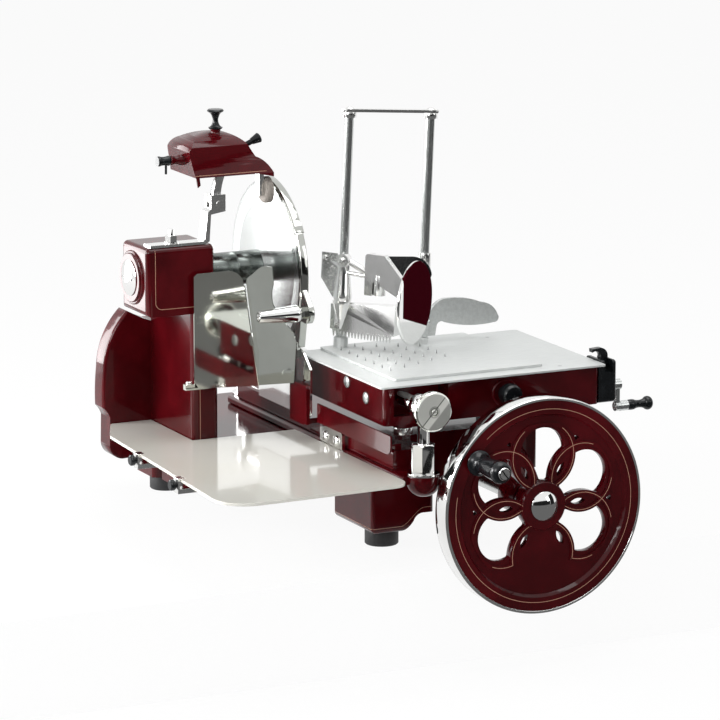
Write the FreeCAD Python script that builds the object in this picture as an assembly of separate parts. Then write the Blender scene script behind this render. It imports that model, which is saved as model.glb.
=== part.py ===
import FreeCAD, Part
import os
from math import asin, cos, hypot, pi, radians, sin, sqrt, tan

# Flywheel slicer, in millimetres. The origin is on the ground, below the middle of the blade.
# +X runs along the blade spindle to the food table, +Y along the carriage's travel, away from
# the flywheel, and +Z up. The feet stand on z = 0 and the flywheel hangs in front of what they
# stand on.

V = FreeCAD.Vector
X_AXIS = V(1, 0, 0)
Y_AXIS = V(0, 1, 0)
Z_AXIS = V(0, 0, 1)

# Clearances
running_gap = 0.05
air_gap = 0.3

# Feet
foot_height = 29.0
foot_radius = 28.0
stud_radius = 5.0
stud_rise = 14.0
front_foot = (88.0, -250.0)
left_foot = (-75.0, 262.0)
right_foot = (235.0, 262.0)
feet = (front_foot, left_foot, right_foot)

# Base casting
base_wall = 8.0
base_front = -300.0
base_back = 305.0
bed_left = 46.0
bed_right = 350.0
bed_bottom = 112.0
bed_step = 146.0
bed_top = 190.0
deck_left = 96.0
front_leg_right = 159.0
front_leg_back = -160.0
front_leg_sole = 102.0
front_leg_arch = 57.0
leg_corner_radius = 10.0
rear_leg_half = 40.0
wing_left = -165.0
wing_front = -60.0
tunnel_half = 25.0
tunnel_bottom = 77.0
tunnel_left = -185.0
tunnel_right = 300.0
tunnel_wall = 6.0
gear_room_left = 194.0
gear_room_right = 304.0
gear_room_front = -38.0
gear_room_back = 30.0
gear_room_bottom = 50.0
crank_room_half = 38.0
crank_room_bottom = 66.0

# Slide arm
arm_left = 28.0
arm_right = 95.0
arm_top = 160.0
arm_edge = 5.0
arm_rail_left = 34.0
arm_rail_front = -400.0
arm_rail_back = 201.0
arm_rail_top = 192.0
arm_boss_radius = 27.0
arm_boss_drop = 34.0

# Guide rod and its posts
rod_x = 65.0
rod_z = 270.0
rod_radius = 12.0
front_post_y = -447.0
rear_post_y = 228.0
post_radius = 10.0
post_eye_radius = 21.0
post_eye_length = 28.0
sleeve_flats = 36.0
sleeve_height = 48.0
post_ring_radius = 26.0
post_ring_height = 4.0
rod_head_radius = 32.0
rod_head_depth = 13.0
rod_head_front = -486.0
rear_stay_bottom = 60.0
skirt_left = 2.0
skirt_front = -455.0
skirt_back = -185.0
skirt_lift = 7.0

# Blade, spindle and guard
spindle_z = 430.0
blade_radius = 142.5
blade_thickness = 3.0
blade_dish = 9.0
blade_flange_radius = 28.0
spindle_radius = 8.0
sleeve_radius = 28.0
sleeve_left = -123.0
sleeve_right = -20.5
sleeve_groove = 1.2
sleeve_groove_x = -66.0
guard_gap = 3.5
guard_width = 8.0
guard_inner = blade_radius + guard_gap
guard_outer = guard_inner + guard_width
guard_left = -12.0
guard_right = 3.0
guard_start = 6.0
guard_end = 107.0
knob_angle = 107.0
knob_reach = 173.0
knob_ear_radius = 18.0
guard_joint = 57.0
guard_lip = 3.0

# Blade column and covers
column_front = -60.0
head_left = -245.0
head_right = -123.0
head_back = 45.0
head_bottom = 372.0
head_top = 486.0
shank_left = -165.0
shank_right = -118.0
shank_back = 112.0
column_wall = 6.0
column_corner = 9.0
cover_left = -254.0
cover_depth = 40.0
cover_top = 350.0
cover_bottom = 98.0
cover_wall = 4.0
end_ring_radius = 45.0
end_ring_width = 6.0
end_dome_radius = 30.0
end_dome_rise = 5.0

# Gauge plate and deflector
gauge_left = -7.0
gauge_thickness = 3.5
gauge_front = -178.0
gauge_back = 24.0
gauge_bottom = 204.0
gauge_shoulder = 286.0
gauge_top = 316.0
gauge_blade_gap = 4.0
carrier_thickness = 6.0
carrier_front = -176.0
carrier_back = -112.0
carrier_top = 258.0
carrier_foot_height = 9.0
deflector_fold_x = -52.0
deflector_fold_y = -72.0
deflector_fold_bottom = 245.0
deflector_left = -167.0
deflector_top = 441.0
deflector_thickness = 2.0

# Receiving tray
tray_top = 160.0
tray_thickness = 5.0
tray_left = -276.0
tray_left_y = 30.0
tray_left_front = -305.7
tray_right = 20.0
tray_front = -503.0
tray_corner = 60.0
tray_bars = (-107.0, -293.0)
clip_lip = 1.5
clip_reach = 8.0
tray_bar_width = 18.0
tray_bar_height = 12.0

# Flywheel
wheel_x = 248.0
wheel_z = 104.0
wheel_front = -515.0
wheel_depth = 36.0
wheel_radius = 178.0
rim_thickness = 5.0
rim_band = 13.0
web_front_step = 6.0
web_thickness = 12.0
recess_radius = 151.0
window_reach = 88.0
window_radius = 40.0
window_corner = 4.0
ring_reach = 81.5
ring_radius = 55.0
ring_band = 7.5
ring_rise = 2.2
slot_reach = 65.0
slot_half_length = 13.0
slot_half_width = 5.0
small_hole_reach = 122.0
small_hole_radius = 6.0
hub_radius = 38.0
hub_cap_radius = 24.0
shaft_radius = 14.0
neck_front = -466.0
neck_boss_length = 52.0
neck_boss_radius = 31.0
bush_wall = 4.0
bush_length = 12.0
cross_bush_spots = (-60.0, 165.0)
upright_bush_spots = (200.0, 330.0)
wheel_bush_y = -52.0

# Turning handle
handle_angle = 145.0
handle_inset = 31.0
handle_reach = wheel_radius - handle_inset
grip_length = 86.0
grip_spindle = 6.0
pin_seat_radius = 14.0

# Gear train inside the base and column
pinion_teeth = 12
wheel_teeth = 36
gear_module = 2.5
top_teeth = 16
top_module = 2.0
cross_radius = 9.0
upright_x = -144.0
upright_radius = 7.0
crank_disc_x = 120.0
crank_disc_radius = 30.0

# Carriage
box_left = 22.0
box_right = 413.0
box_front = -395.0
box_back = -100.0
box_bottom = 232.0
box_top = 297.0
box_wall = 6.0
table_left = 8.0
table_right = 418.0
table_front = -410.0
table_back = -94.0
table_thickness = 3.0
mouth_left = 38.0
mouth_right = 136.0
mouth_sill = 14.0
bush_ribs = (-355.0, -155.0)
rib_thickness = 16.0
wheel_roller_radius = 20.0
wheel_roller_x = 318.0
wheel_roller_y = -200.0
guide_roller_radius = 16.0
guide_roller_drop = 6.0

# Sliding upper table with its feed
plate_left = 49.0
plate_right = 318.0
plate_front = -378.0
plate_back = -95.0
plate_thickness = 4.0
spike_height = 6.5
spike_radius = 1.6
spike_columns = 5
spike_rows = 8
spike_step = 30.5
spike_column_step = 32.5
spike_left_margin = 21.0
spike_front_margin = 60.0
feed_y = -372.0
feed_z = 256.0
feed_radius = 6.0
feed_left = 118.0
crank_throw = 37.0
crank_hub_length = 17.0
crank_collar_length = 14.0
crank_grip_length = 45.0
bracket_right = 447.0
bracket_front = -394.0
bracket_back = -340.0
lever_pin_z = 292.0

# Meat clamp
post_spacing = 136.0
clamp_post = (82.0, -108.0)
clamp_post_radius = 7.5
clamp_post_top = 697.0
clamp_foot_height = 18.0
clamp_foot_radius = 12.0
clamp_lean = 2.5
post_turn = 15.0
jaw_turn = 54.0
disc_turn = 50.0
pressure_block_left = 46.0
wing_hub_radius = 11.5
wing_hub_height = 22.0
jaw_bottom = 335.0
jaw_top = 377.0
jaw_length = 119.0
clamp_boss_radius = 11.0
end_disc_radius = 69.0
end_disc_z = 397.0
end_disc_along = 139.3
end_disc_across = -15.8
comb_depth = 12.0
comb_teeth = 19

# Sharpener
hood_left = -166.0
hood_right = -17.0
hood_front = -62.0
hood_back = 42.0
hood_bottom = 597.0
hood_top = 665.0
hood_wall = 3.0
strap_front = -56.0
strap_back = -30.0
pivot_y = -43.0
knob_y = -22.0
top_knob_x = -104.0
right_knob_y = 0.0
right_knob_z = 640.5
right_knob_lift = 23.0
tilt_x = -115.0
tilt_z = 552.0
stone_radius = 22.0
stone_x = -30.0
stone_z = 566.0


def block(x0, x1, y0, y1, z0, z1):
    return Part.makeBox(x1 - x0, y1 - y0, z1 - z0, V(x0, y0, z0))


def bar(start, axis, radius, length):
    return Part.makeCylinder(radius, length, start, axis)


def tube(start, axis, outer, inner, length):
    return bar(start, axis, outer, length).cut(bar(start, axis, inner, length))


def placed(shape, origin, axis):
    """Turns a shape made along +Z to the axis and moves it to the origin."""
    shape = shape.copy()
    shape.Placement = FreeCAD.Placement(origin, FreeCAD.Rotation(Z_AXIS, axis)).multiply(shape.Placement)
    return shape


def wire_of(points):
    """A closed wire through points. A point written as a pair (middle, end) draws an arc."""
    edges = []
    here = points[0]
    for step in list(points[1:]) + [points[0]]:
        if isinstance(step, tuple):
            edges.append(Part.Arc(here, step[0], step[1]).toShape())
            here = step[1]
        elif (step - here).Length > 1e-6:
            edges.append(Part.LineSegment(here, step).toShape())
            here = step
    return Part.Wire(edges)


def prism(points, travel):
    return Part.Face(wire_of(points)).extrude(travel)


def turned(profile, origin, axis):
    """A solid of revolution. The profile is a list of (radius, height) or arcs of two such."""
    points = []
    for step in profile:
        if isinstance(step[0], tuple):
            points.append(tuple(V(r, 0, h) for r, h in step))
        else:
            points.append(V(step[0], 0, step[1]))
    solid = Part.Face(wire_of(points)).revolve(V(0, 0, 0), Z_AXIS, 360)
    return placed(solid, origin, axis)


def rounded(shape, radius, chosen):
    return shape.makeFillet(radius, [e for e in shape.Edges if chosen(e)])


def dome(radius, height, rise):
    """The arc of a dome over a disc of this radius, as a step of a turned profile."""
    ball = (radius * radius + rise * rise) / (2 * rise)
    centre = height + rise - ball
    half = 0.5 * asin(radius / ball)
    return ((ball * sin(half), centre + ball * cos(half)), (0, height + rise))


def runs_along(edge, axis):
    if not isinstance(edge.Curve, Part.Line):
        return False
    return abs(edge.tangentAt(edge.FirstParameter).dot(axis)) > 0.999


def hexagon(start, flats, height):
    corner = flats / sqrt(3)
    ring = [V(corner * cos(pi * k / 3), corner * sin(pi * k / 3), 0) for k in range(6)]
    return placed(prism(ring, V(0, 0, height)), start, Z_AXIS)


def group(shapes):
    return Part.makeCompound(shapes)


def bevel_gear(teeth, module, mate, bore, hub=0.0):
    """A bevel gear with its cone's tip at the origin and its back towards +Z."""
    pitch_r = teeth * module / 2
    pitch_z = mate * module / 2
    cone = hypot(pitch_r, pitch_z)
    out_r, out_z = pitch_z / cone, -pitch_r / cone
    inner = 0.7
    root = 1.25 * module
    tip = 0.85 * module
    root_r = pitch_r + -root * out_r
    root_z = pitch_z + -root * out_z
    back_z = root_z + 2 * module + hub
    profile = [(bore, root_z * inner), (root_r * inner, root_z * inner), (root_r, root_z)]
    profile += [(root_r, back_z), (bore, back_z)]
    body = turned(profile, V(0, 0, 0), Z_AXIS)
    teeth_made = []
    for k in range(teeth):
        angle = 2 * pi * (k + 0.5) / teeth
        quad = []
        for height, width in ((-root - 0.2, 0.31), (tip, 0.13)):
            for side in (-1, 1):
                half = side * width * pi * module / 2
                r, z = pitch_r + height * out_r, pitch_z + height * out_z
                quad.append(V(r * cos(angle) - half * sin(angle), r * sin(angle) + half * cos(angle), z))
        ring = [quad[0], quad[1], quad[3], quad[2]]
        near = [p * inner for p in ring]
        faces = [Part.Face(Part.makePolygon(ring + ring[:1])), Part.Face(Part.makePolygon(near + near[:1]))]
        for i in range(4):
            side = [ring[i], ring[(i + 1) % 4], near[(i + 1) % 4], near[i]]
            faces.append(Part.Face(Part.makePolygon(side + side[:1])))
        tooth = Part.Solid(Part.Shell(faces))
        if tooth.Volume < 0:
            tooth.reverse()
        teeth_made.append(tooth)
    return body.fuse(teeth_made)


# Base


def base_frame():
    corner = leg_corner_radius
    bed = block(bed_left, bed_right, base_front, base_back, bed_bottom, bed_step)
    deck = block(deck_left, bed_right, base_front, base_back, bed_bottom, bed_top)
    wing = block(wing_left, bed_left + 1, wing_front, base_back, bed_bottom, bed_step)
    tunnel = block(tunnel_left, gear_room_left + 1, -tunnel_half, tunnel_half, tunnel_bottom, bed_bottom + 1)
    gear_room = block(gear_room_left, gear_room_right, gear_room_front, gear_room_back, gear_room_bottom, bed_bottom + 1)
    crank_room = block(crank_disc_x - 18, crank_disc_x + 36, -crank_room_half, crank_room_half,
                       crank_room_bottom, bed_bottom + 1)
    y = base_front
    sole = foot_height
    arch = front_leg_arch
    profile = [
        V(bed_left, y, bed_bottom + 1),
        V(bed_left, y, sole + corner),
        (V(bed_left + 0.3 * corner, y, sole + 0.3 * corner), V(bed_left + corner, y, sole)),
        V(front_leg_sole, y, sole),
        (V(front_leg_sole + 14, y, sole + 9), V(front_leg_sole + 20, y, arch - 12)),
        (V(front_leg_sole + 27, y, arch - 3), V(front_leg_sole + 40, y, arch)),
        V(front_leg_right, y, arch),
        V(front_leg_right, y, bed_bottom + 1),
    ]
    front_leg = prism(profile, V(0, front_leg_back - base_front, 0))
    shape = bed.fuse([deck, wing, tunnel, gear_room, crank_room, front_leg])
    half = rear_leg_half
    for x, y in (left_foot, right_foot):
        leg = block(x - half, x + half, y - half, y + half, foot_height, bed_bottom + 1)
        shape = shape.fuse(rounded(leg, corner, lambda e: runs_along(e, Z_AXIS)))
    shape = shape.removeSplitter()
    tall = [
        e
        for e in shape.Edges
        if runs_along(e, Z_AXIS)
        and e.Length > 30
        and abs(e.CenterOfMass.y - base_front) < 1
    ]
    shape = shape.makeFillet(6, tall)
    w = base_wall
    t = tunnel_wall
    hollows = [
        block(deck_left + w, bed_right - w, base_front + w, base_back - w, bed_bottom - 1, bed_top - w),
        block(bed_left + w, deck_left + w + 1, base_front + w, base_back - w, bed_bottom - 1, bed_step - w),
        block(wing_left + w, bed_left + w + 1, wing_front + w, base_back - w, bed_bottom - 1, bed_step - w),
        block(tunnel_left + t, gear_room_left + t + 1, t - tunnel_half, tunnel_half - t, tunnel_bottom + t, bed_bottom),
        block(gear_room_left + t, gear_room_right - t, gear_room_front + t, gear_room_back - t,
              gear_room_bottom + t, bed_bottom),
        block(crank_disc_x - 18 + t, crank_disc_x + 36 - t, t - crank_room_half, crank_room_half - t,
              crank_room_bottom + t, bed_bottom),
        block(bed_left + 10, front_leg_sole - 6, base_front + 12, front_leg_back - 12, 48, bed_bottom),
    ]
    for x, y in (left_foot, right_foot):
        hollows.append(block(x - half + 10, x + half - 10, y - half + 10, y + half - 10, 48, bed_bottom))
    shape = shape.cut(hollows)
    # an opening up into the column for the upright shaft
    low_x = upright_x - pinion_teeth * gear_module / 2 - 2
    shape = shape.cut(block(low_x, shank_right - w, t - tunnel_half, tunnel_half - t, bed_bottom, bed_step + 1))
    lugs = []
    for x in cross_bush_spots:
        lugs.append(block(x, x + bush_length, t - 1 - tunnel_half, tunnel_half - t + 1, tunnel_bottom + t - 1, bed_step - w + 1))
    lug_half = 24.0
    lugs.append(block(wheel_x - lug_half, wheel_x + lug_half, wheel_bush_y, gear_room_front + 1,
                      wheel_z - lug_half, bed_top - w + 1))
    shape = shape.fuse(lugs + [wheel_neck()] + tray_bars_made())
    reach = cross_bush_spots[1] - cross_bush_spots[0] + bush_length + 2
    holes = [bar(V(cross_bush_spots[0] - 1, 0, wheel_z), X_AXIS, cross_radius + bush_wall, reach)]
    holes.append(bar(V(wheel_x, neck_front - 1, wheel_z), Y_AXIS, shaft_radius + bush_wall, neck_boss_length + 1))
    holes.append(bar(V(wheel_x, wheel_bush_y - 1, wheel_z), Y_AXIS, shaft_radius + bush_wall, bush_length + 10))
    holes.append(bar(V(wheel_x, neck_front - 1, wheel_z), Y_AXIS, shaft_radius + 2, -neck_front + gear_room_front + 8))
    holes.append(bar(V(rod_x, rear_post_y, bed_bottom), Z_AXIS, arm_boss_radius, bed_step - bed_bottom + 1))
    for x, y in feet:
        holes.append(bar(V(x, y, foot_height - 1), Z_AXIS, stud_radius, stud_rise + 1))
    return shape.cut(holes).removeSplitter()


def wheel_neck():
    """The curved arm that reaches forward from the base and carries the flywheel's bearing."""
    y0 = base_front
    front = neck_front
    boss = bar(V(wheel_x, front, wheel_z), Y_AXIS, neck_boss_radius, neck_boss_length)
    side = [
        V(0, y0, bed_top - 6),
        (V(0, 0.5 * (y0 + front) - 8, bed_top - 14), V(0, front + 8, wheel_z + 20)),
        V(0, front + 8, wheel_z),
        V(0, front + neck_boss_length, wheel_z),
        (V(0, y0 - 62, wheel_z + 26), V(0, y0, bed_step - 12)),
    ]
    half = 24.0
    arm = prism(side, V(2 * half, 0, 0))
    arm.translate(V(wheel_x - half, 0, 0))
    return boss.fuse(arm).removeSplitter()


def rubber_feet():
    made = []
    for x, y in feet:
        profile = [(0, 0), (foot_radius - 2, 0), (foot_radius, 2), (foot_radius, foot_height - 2)]
        profile += [(foot_radius - 2, foot_height), (0, foot_height)]
        foot = turned(profile, V(x, y, 0), Z_AXIS)
        made.append(foot.fuse(bar(V(x, y, 8), Z_AXIS, stud_radius, foot_height - 9 + stud_rise)))
    return group(made)


# Slide arm, guide rod and what stands on the arm


def slide_arm():
    e = arm_edge
    y = front_post_y
    low = [
        V(arm_left, y, bed_step + e),
        (V(arm_left + 0.3 * e, y, bed_step + 0.3 * e), V(arm_left + e, y, bed_step)),
        V(arm_right, y, bed_step),
        V(arm_right, y, arm_top),
        V(arm_left + e, y, arm_top),
        (V(arm_left + 0.3 * e, y, arm_top - 0.3 * e), V(arm_left, y, arm_top - e)),
    ]
    shape = prism(low, V(0, rear_post_y - front_post_y, 0))
    rail = block(arm_rail_left, arm_right, arm_rail_front, arm_rail_back, arm_top - 1, arm_rail_top)
    shape = shape.fuse(rounded(rail, 5, lambda ed: runs_along(ed, Y_AXIS) and ed.CenterOfMass.x < rod_x))
    r = arm_boss_radius
    for y in (front_post_y, rear_post_y):
        boss = [(0, -arm_boss_drop), (8, -arm_boss_drop), ((0.86 * r, -24), (r, -8)), (r, 0), (0, 0)]
        shape = shape.fuse(turned(boss, V(rod_x, y, arm_top), Z_AXIS))
        # the arm's end is narrowed to the round boss
        for sign in (-1, 1):
            far = y + (-60 if y < 0 else 60)
            side = block(rod_x + sign * r - (0 if sign > 0 else 80), rod_x + sign * r + (80 if sign > 0 else 0),
                         min(y, far), max(y, far), bed_step - 1, arm_top + 1)
            shape = shape.cut(side)
    shape = shape.removeSplitter()
    shape = shape.cut(bar(V(rod_x, front_post_y, arm_top - 30), Z_AXIS, post_radius, 60))
    return shape.cut(bar(V(rod_x, rear_post_y, arm_top - 60), Z_AXIS, post_radius, 90))


def rod_post(y, bottom):
    """A turned post: ring and hexagon above the arm, then a round neck and the eye for the rod."""
    stem = bar(V(rod_x, y, bottom), Z_AXIS, post_radius, rod_z - bottom)
    eye = bar(V(rod_x, y - post_eye_length / 2, rod_z), Y_AXIS, post_eye_radius, post_eye_length)
    ring = bar(V(rod_x, y, arm_top), Z_AXIS, post_ring_radius, post_ring_height)
    z = arm_top + post_ring_height
    nut = hexagon(V(rod_x, y, z), sleeve_flats, sleeve_height)
    trim = [(0, 0), (20.5, 0), (20.5, sleeve_height - 3), (17, sleeve_height), (0, sleeve_height)]
    nut = nut.common(turned(trim, V(rod_x, y, z), Z_AXIS))
    shape = stem.fuse([eye, ring, nut]).removeSplitter()
    return shape.cut(bar(V(rod_x, y - post_eye_length, rod_z), Y_AXIS, rod_radius, 2 * post_eye_length))


def rod_posts():
    return group([rod_post(front_post_y, arm_top - 30), rod_post(rear_post_y, rear_stay_bottom)])


def guide_rod():
    back = rear_post_y + post_eye_length / 2
    start = rod_head_front + rod_head_depth
    nut = placed(hexagon(V(0, 0, 0), 32, 11), V(rod_x, back, rod_z), Y_AXIS)
    return bar(V(rod_x, start, rod_z), Y_AXIS, rod_radius, back + 15 - start).fuse(nut).removeSplitter()


def rod_end_disc():
    r, d = rod_head_radius, rod_head_depth
    profile = [(0, 0), (r - 2, 0), (r, -2), (r, -d + 3), (r - 3, -d), (7, -d), (7, -d + 2.5)]
    profile += [(5, -d + 2.5), (5, -d + 0.5), (4, -d - 1), (0, -d - 1)]
    disc = turned(profile, V(rod_x, rod_head_front + d, rod_z), Y_AXIS)
    y = rod_head_front
    return disc.cut(block(rod_x - 6, rod_x + 6, y - 2, y + 0.6, rod_z - 0.7, rod_z + 0.7))


arm_plate_ys = (-214.0, -173.0)
arm_plate_low = 155.0
arm_plate_high = 188.0
arm_plate_screw_radius = 9.0


def arm_plate():
    """A bright plate on the arm's left side. A lug behind it bears on the rail."""
    x = arm_left
    y0, y1 = arm_plate_ys[0] - 21, arm_plate_ys[1] + 21
    plate = block(x - 5, x, y0, y1, arm_plate_low, arm_plate_high)
    plate = rounded(plate, 5, lambda e: runs_along(e, X_AXIS))
    return plate.fuse(block(x, arm_rail_left, y0 + 6, y1 - 6, arm_top, arm_plate_high - 5))


def arm_plate_screws():
    made = []
    r = arm_plate_screw_radius
    x, z = arm_left - 5, 0.5 * (arm_plate_low + arm_plate_high)
    for y in arm_plate_ys:
        head = turned([(0, 0), (r, 0), (r, 1.5), ((0.7 * r, 3.4), (0, 3.6))], V(x, y, z), V(-1, 0, 0))
        made.append(head.cut(block(x - 5, x - 2, y - 1, y + 1, z - r, z + r)))
    return made


def rail_skirt():
    """A thin red strip that hides the rod from the left, with a ledge that rests on the rail."""
    x, t = skirt_left, 3.0
    front, back = skirt_front, skirt_back
    z0 = arm_rail_top
    low = z0 + skirt_lift
    side = block(x, x + t, front, back, low, box_bottom - 1.5)
    side = rounded(side, 14, lambda e: runs_along(e, X_AXIS) and e.CenterOfMass.z < low + 1 and e.CenterOfMass.y < front + 1)
    ledge = block(x, rod_x - 14, arm_rail_front + 4, back, low, low + t)
    foot = block(arm_rail_left + 6, rod_x - 14, arm_rail_front + 4, back, z0, low)
    return side.fuse([ledge, foot]).removeSplitter()


# Blade column


def blade_column():
    head = block(head_left, head_right, column_front, head_back, head_bottom, head_top)
    head = rounded(head, column_corner, lambda e: abs(e.CenterOfMass.z - head_bottom) > 1 or e.CenterOfMass.x < head_left + 1)
    shank = block(shank_left, shank_right, column_front, shank_back, bed_step, head_bottom + 10)
    shank = rounded(shank, column_corner, lambda e: runs_along(e, Z_AXIS) and e.CenterOfMass.y < 0)
    shape = head.fuse(shank).removeSplitter()
    w = column_wall
    shape = shape.cut(block(head_left + w, head_right - w, column_front + w, head_back - w, head_bottom + w, head_top - w))
    shape = shape.cut(block(shank_left + w, shank_right - w, column_front + w, shank_back - w, bed_step - 1, head_bottom + 20))
    lugs = []
    for z in upright_bush_spots:
        lugs.append(block(upright_x - 18, upright_x + 18, column_front + w - 1, 18, z, z + bush_length))
    shape = shape.fuse(lugs)
    shape = shape.cut(bar(V(upright_x, 0, upright_bush_spots[0] - 1), Z_AXIS, upright_radius + 3, head_bottom - 170))
    # room in the head's side wall for the upright shaft's top gear
    gear_radius = top_teeth * top_module / 2 + top_module + 0.6
    gear_low = spindle_z - gear_radius - 8
    shape = shape.cut(bar(V(upright_x, 0, gear_low), Z_AXIS, gear_radius, spindle_z - gear_low))
    hole = bar(V(head_left - 1, 0, spindle_z), X_AXIS, spindle_radius + 5, head_right - head_left + 2)
    recess = bar(V(head_left - 1, 0, spindle_z), X_AXIS, 26, w + 2)
    return shape.cut([hole, recess]).fuse(end_cap_ring()).removeSplitter()


def rear_cover():
    """The bulged cover behind the column, wider below than at its top."""
    x1 = shank_left
    start = shank_back

    def body(i, begin, depth):
        outline = [
            V(x1 + 40, begin, 330 - i),
            V(x1, begin, 330 - i),
            V(x1 - 14, begin, 335 - i),
            V(cover_left + 46, begin, cover_top - i),
            (V(cover_left + 14 + i, begin, 303), V(cover_left + 3 + i, begin, 253)),
            (V(cover_left + 0.5 + i, begin, 219), V(cover_left + 0.5 + i, begin, 188)),
            (V(cover_left + 8 + i, begin, 180), V(cover_left + 13 + i, begin, 170)),
            V(cover_left + 12 + i, begin, 122),
            (V(cover_left + 19 + i, begin, 105 + i), V(cover_left + 41, begin, cover_bottom + i)),
            V(x1 - i, begin, cover_bottom + i),
            V(x1 - i, begin, bed_step + i),
            V(x1 + 40, begin, bed_step + i),
        ]
        return prism(outline, V(0, depth, 0))

    shape = body(0, start, cover_depth)

    def outer_rim(e):
        middle = e.CenterOfMass
        on_face = min(abs(middle.y - start), abs(middle.y - start - cover_depth)) < 0.5
        return on_face and middle.x < x1 - 45 and middle.z > 200

    shape = rounded(shape, 6, outer_rim)
    return shape.cut(body(cover_wall, start + cover_wall, cover_depth - 2 * cover_wall))


def end_cap_ring():
    r, w = end_ring_radius, end_ring_width
    step = r - 4
    profile = [(26, 0), (r, 0), (r, 1.5), (r - 2, 3), (step, 3), (step, w - 1), (step - 1.5, w), (26, w)]
    return turned(profile, V(head_left, 0, spindle_z), V(-1, 0, 0))


def spindle_end_cap():
    r, rise, w = end_dome_radius, end_dome_rise, end_ring_width
    profile = [(0, 0), (25.5, 0), (25.5, w), (r, w), (r, w + 1.5), dome(r, w + 1.5, rise)]
    return turned(profile, V(head_left, 0, spindle_z), V(-1, 0, 0))


def spindle_sleeve():
    length = sleeve_right - sleeve_left
    r, g = sleeve_radius, sleeve_groove
    inner = spindle_radius + bush_wall
    at = sleeve_groove_x - sleeve_left
    profile = [(inner, 0), (r, 0), (r, at), (r - g, at), (r - g, at + 2.5), (r, at + 2.5)]
    profile += [(r, length), (inner, length)]
    return turned(profile, V(sleeve_left, 0, spindle_z), X_AXIS)


def spindle_bushes():
    inner = spindle_radius + running_gap
    outer = spindle_radius + bush_wall
    made = [tube(V(sleeve_right - 24, 0, spindle_z), X_AXIS, outer, inner, 24)]
    made.append(tube(V(sleeve_left, 0, spindle_z), X_AXIS, outer, inner, 24))
    return made


# Guard, gauge plate and deflector


def around_blade(radius, angle, x=0.0):
    """A point beside the blade: the angle runs from the top towards the front."""
    a = radians(angle)
    return V(x, -radius * sin(a), spindle_z + radius * cos(a))


def blade_guard():
    """A round band in front of the blade's edge, with a joint, a knob boss and a straight tail."""
    x0, x1 = guard_left, guard_right
    n, m = guard_inner, guard_outer

    def band(angle_from, angle_to, swell):
        a, b, top, low = x0 - swell, x1 + swell, m + swell, n
        profile = [
            V(a, 0, low), V(a, 0, top - 2), V(a + 2, 0, top), V(b - 2, 0, top), V(b, 0, top - 2),
            V(b, 0, low), V(b - guard_lip, 0, low), V(b - guard_lip, 0, low + 2.5),
            V(a + guard_lip, 0, low + 2.5), V(a + guard_lip, 0, low),
        ]
        face = Part.Face(wire_of(profile))
        face.rotate(V(0, 0, 0), X_AXIS, angle_from)
        made = face.revolve(V(0, 0, 0), X_AXIS, angle_to - angle_from)
        made.translate(V(0, 0, spindle_z))
        return made

    shape = band(guard_start, guard_end, 0)
    joint = band(guard_joint - 3, guard_joint + 3, 1.2)
    web = [around_blade(n + 2, knob_angle - 13, x0 + 2), around_blade(knob_reach + 9, knob_angle - 5, x0 + 2),
           around_blade(knob_reach + 9, knob_angle + 5, x0 + 2), around_blade(n + 2, knob_angle + 10, x0 + 2)]
    ear = bar(around_blade(knob_reach, knob_angle, x0 + 2), X_AXIS, knob_ear_radius, 9)
    low = gauge_top + air_gap
    tail = [V(x0 + 2, -154, 390), V(x0 + 2, -139, 384), V(x0 + 2, -119, low), V(x0 + 2, -139, low)]
    lap = block(x0, gauge_left, -139, -119, low - 16, low + 8)
    shape = shape.fuse([joint, prism(web, V(9, 0, 0)), ear, prism(tail, V(12, 0, 0)), lap, guard_stud()])
    return shape.removeSplitter()


def guard_stud():
    centre = around_blade(knob_reach, knob_angle, guard_left - 26)
    shaft = bar(centre, X_AXIS, 5, 36)
    nut = placed(hexagon(V(0, 0, 0), 17, 8), around_blade(knob_reach, knob_angle, guard_left - 6), X_AXIS)
    return shaft.fuse(nut)


def guard_knob():
    centre = around_blade(knob_reach, knob_angle, guard_left - 10)
    length = 72.0
    profile = [
        (5 + running_gap, 0), (13, 0), (14.5, 4), (14, 14), (9.5, length - 3), (8, length),
        (6, length), (6, length - 4), (0, length - 4), (0, 18), (5 + running_gap, 18),
    ]
    return turned(profile, centre, V(-1, 0, 0))


def gauge_plate():
    r = blade_radius + gauge_blade_gap
    x = gauge_left
    top_y = -sqrt(r * r - (spindle_z - gauge_top) ** 2)
    back_z = spindle_z - sqrt(r * r - gauge_back * gauge_back)
    middle = radians(162)
    points = [
        V(x, gauge_front, gauge_bottom + 14),
        V(x, gauge_front, gauge_shoulder),
        V(x, -152, 309),
        V(x, -136, gauge_top - 2),
        V(x, -124, gauge_top),
        V(x, top_y, gauge_top),
        (V(x, -r * sin(middle), spindle_z + r * cos(middle)), V(x, gauge_back, back_z)),
        V(x, gauge_back, gauge_bottom),
        V(x, gauge_front + 14, gauge_bottom),
        (V(x, gauge_front + 4, gauge_bottom + 4), V(x, gauge_front, gauge_bottom + 14)),
    ]
    return prism(points, V(gauge_thickness, 0, 0))


def gauge_carrier():
    x = gauge_left
    left = x - carrier_thickness
    plate = block(left, x, carrier_front, carrier_back, gauge_bottom - 10, carrier_top)
    z = arm_rail_top
    drop = block(left, x, carrier_front + 14, carrier_back, z, gauge_bottom)
    foot = block(left, arm_rail_left + 14, carrier_front + 14, carrier_back, z, z + carrier_foot_height)
    shape = plate.fuse([drop, foot]).removeSplitter()
    return rounded(shape, 6, lambda e: runs_along(e, X_AXIS) and e.CenterOfMass.z > carrier_top - 1)


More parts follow.
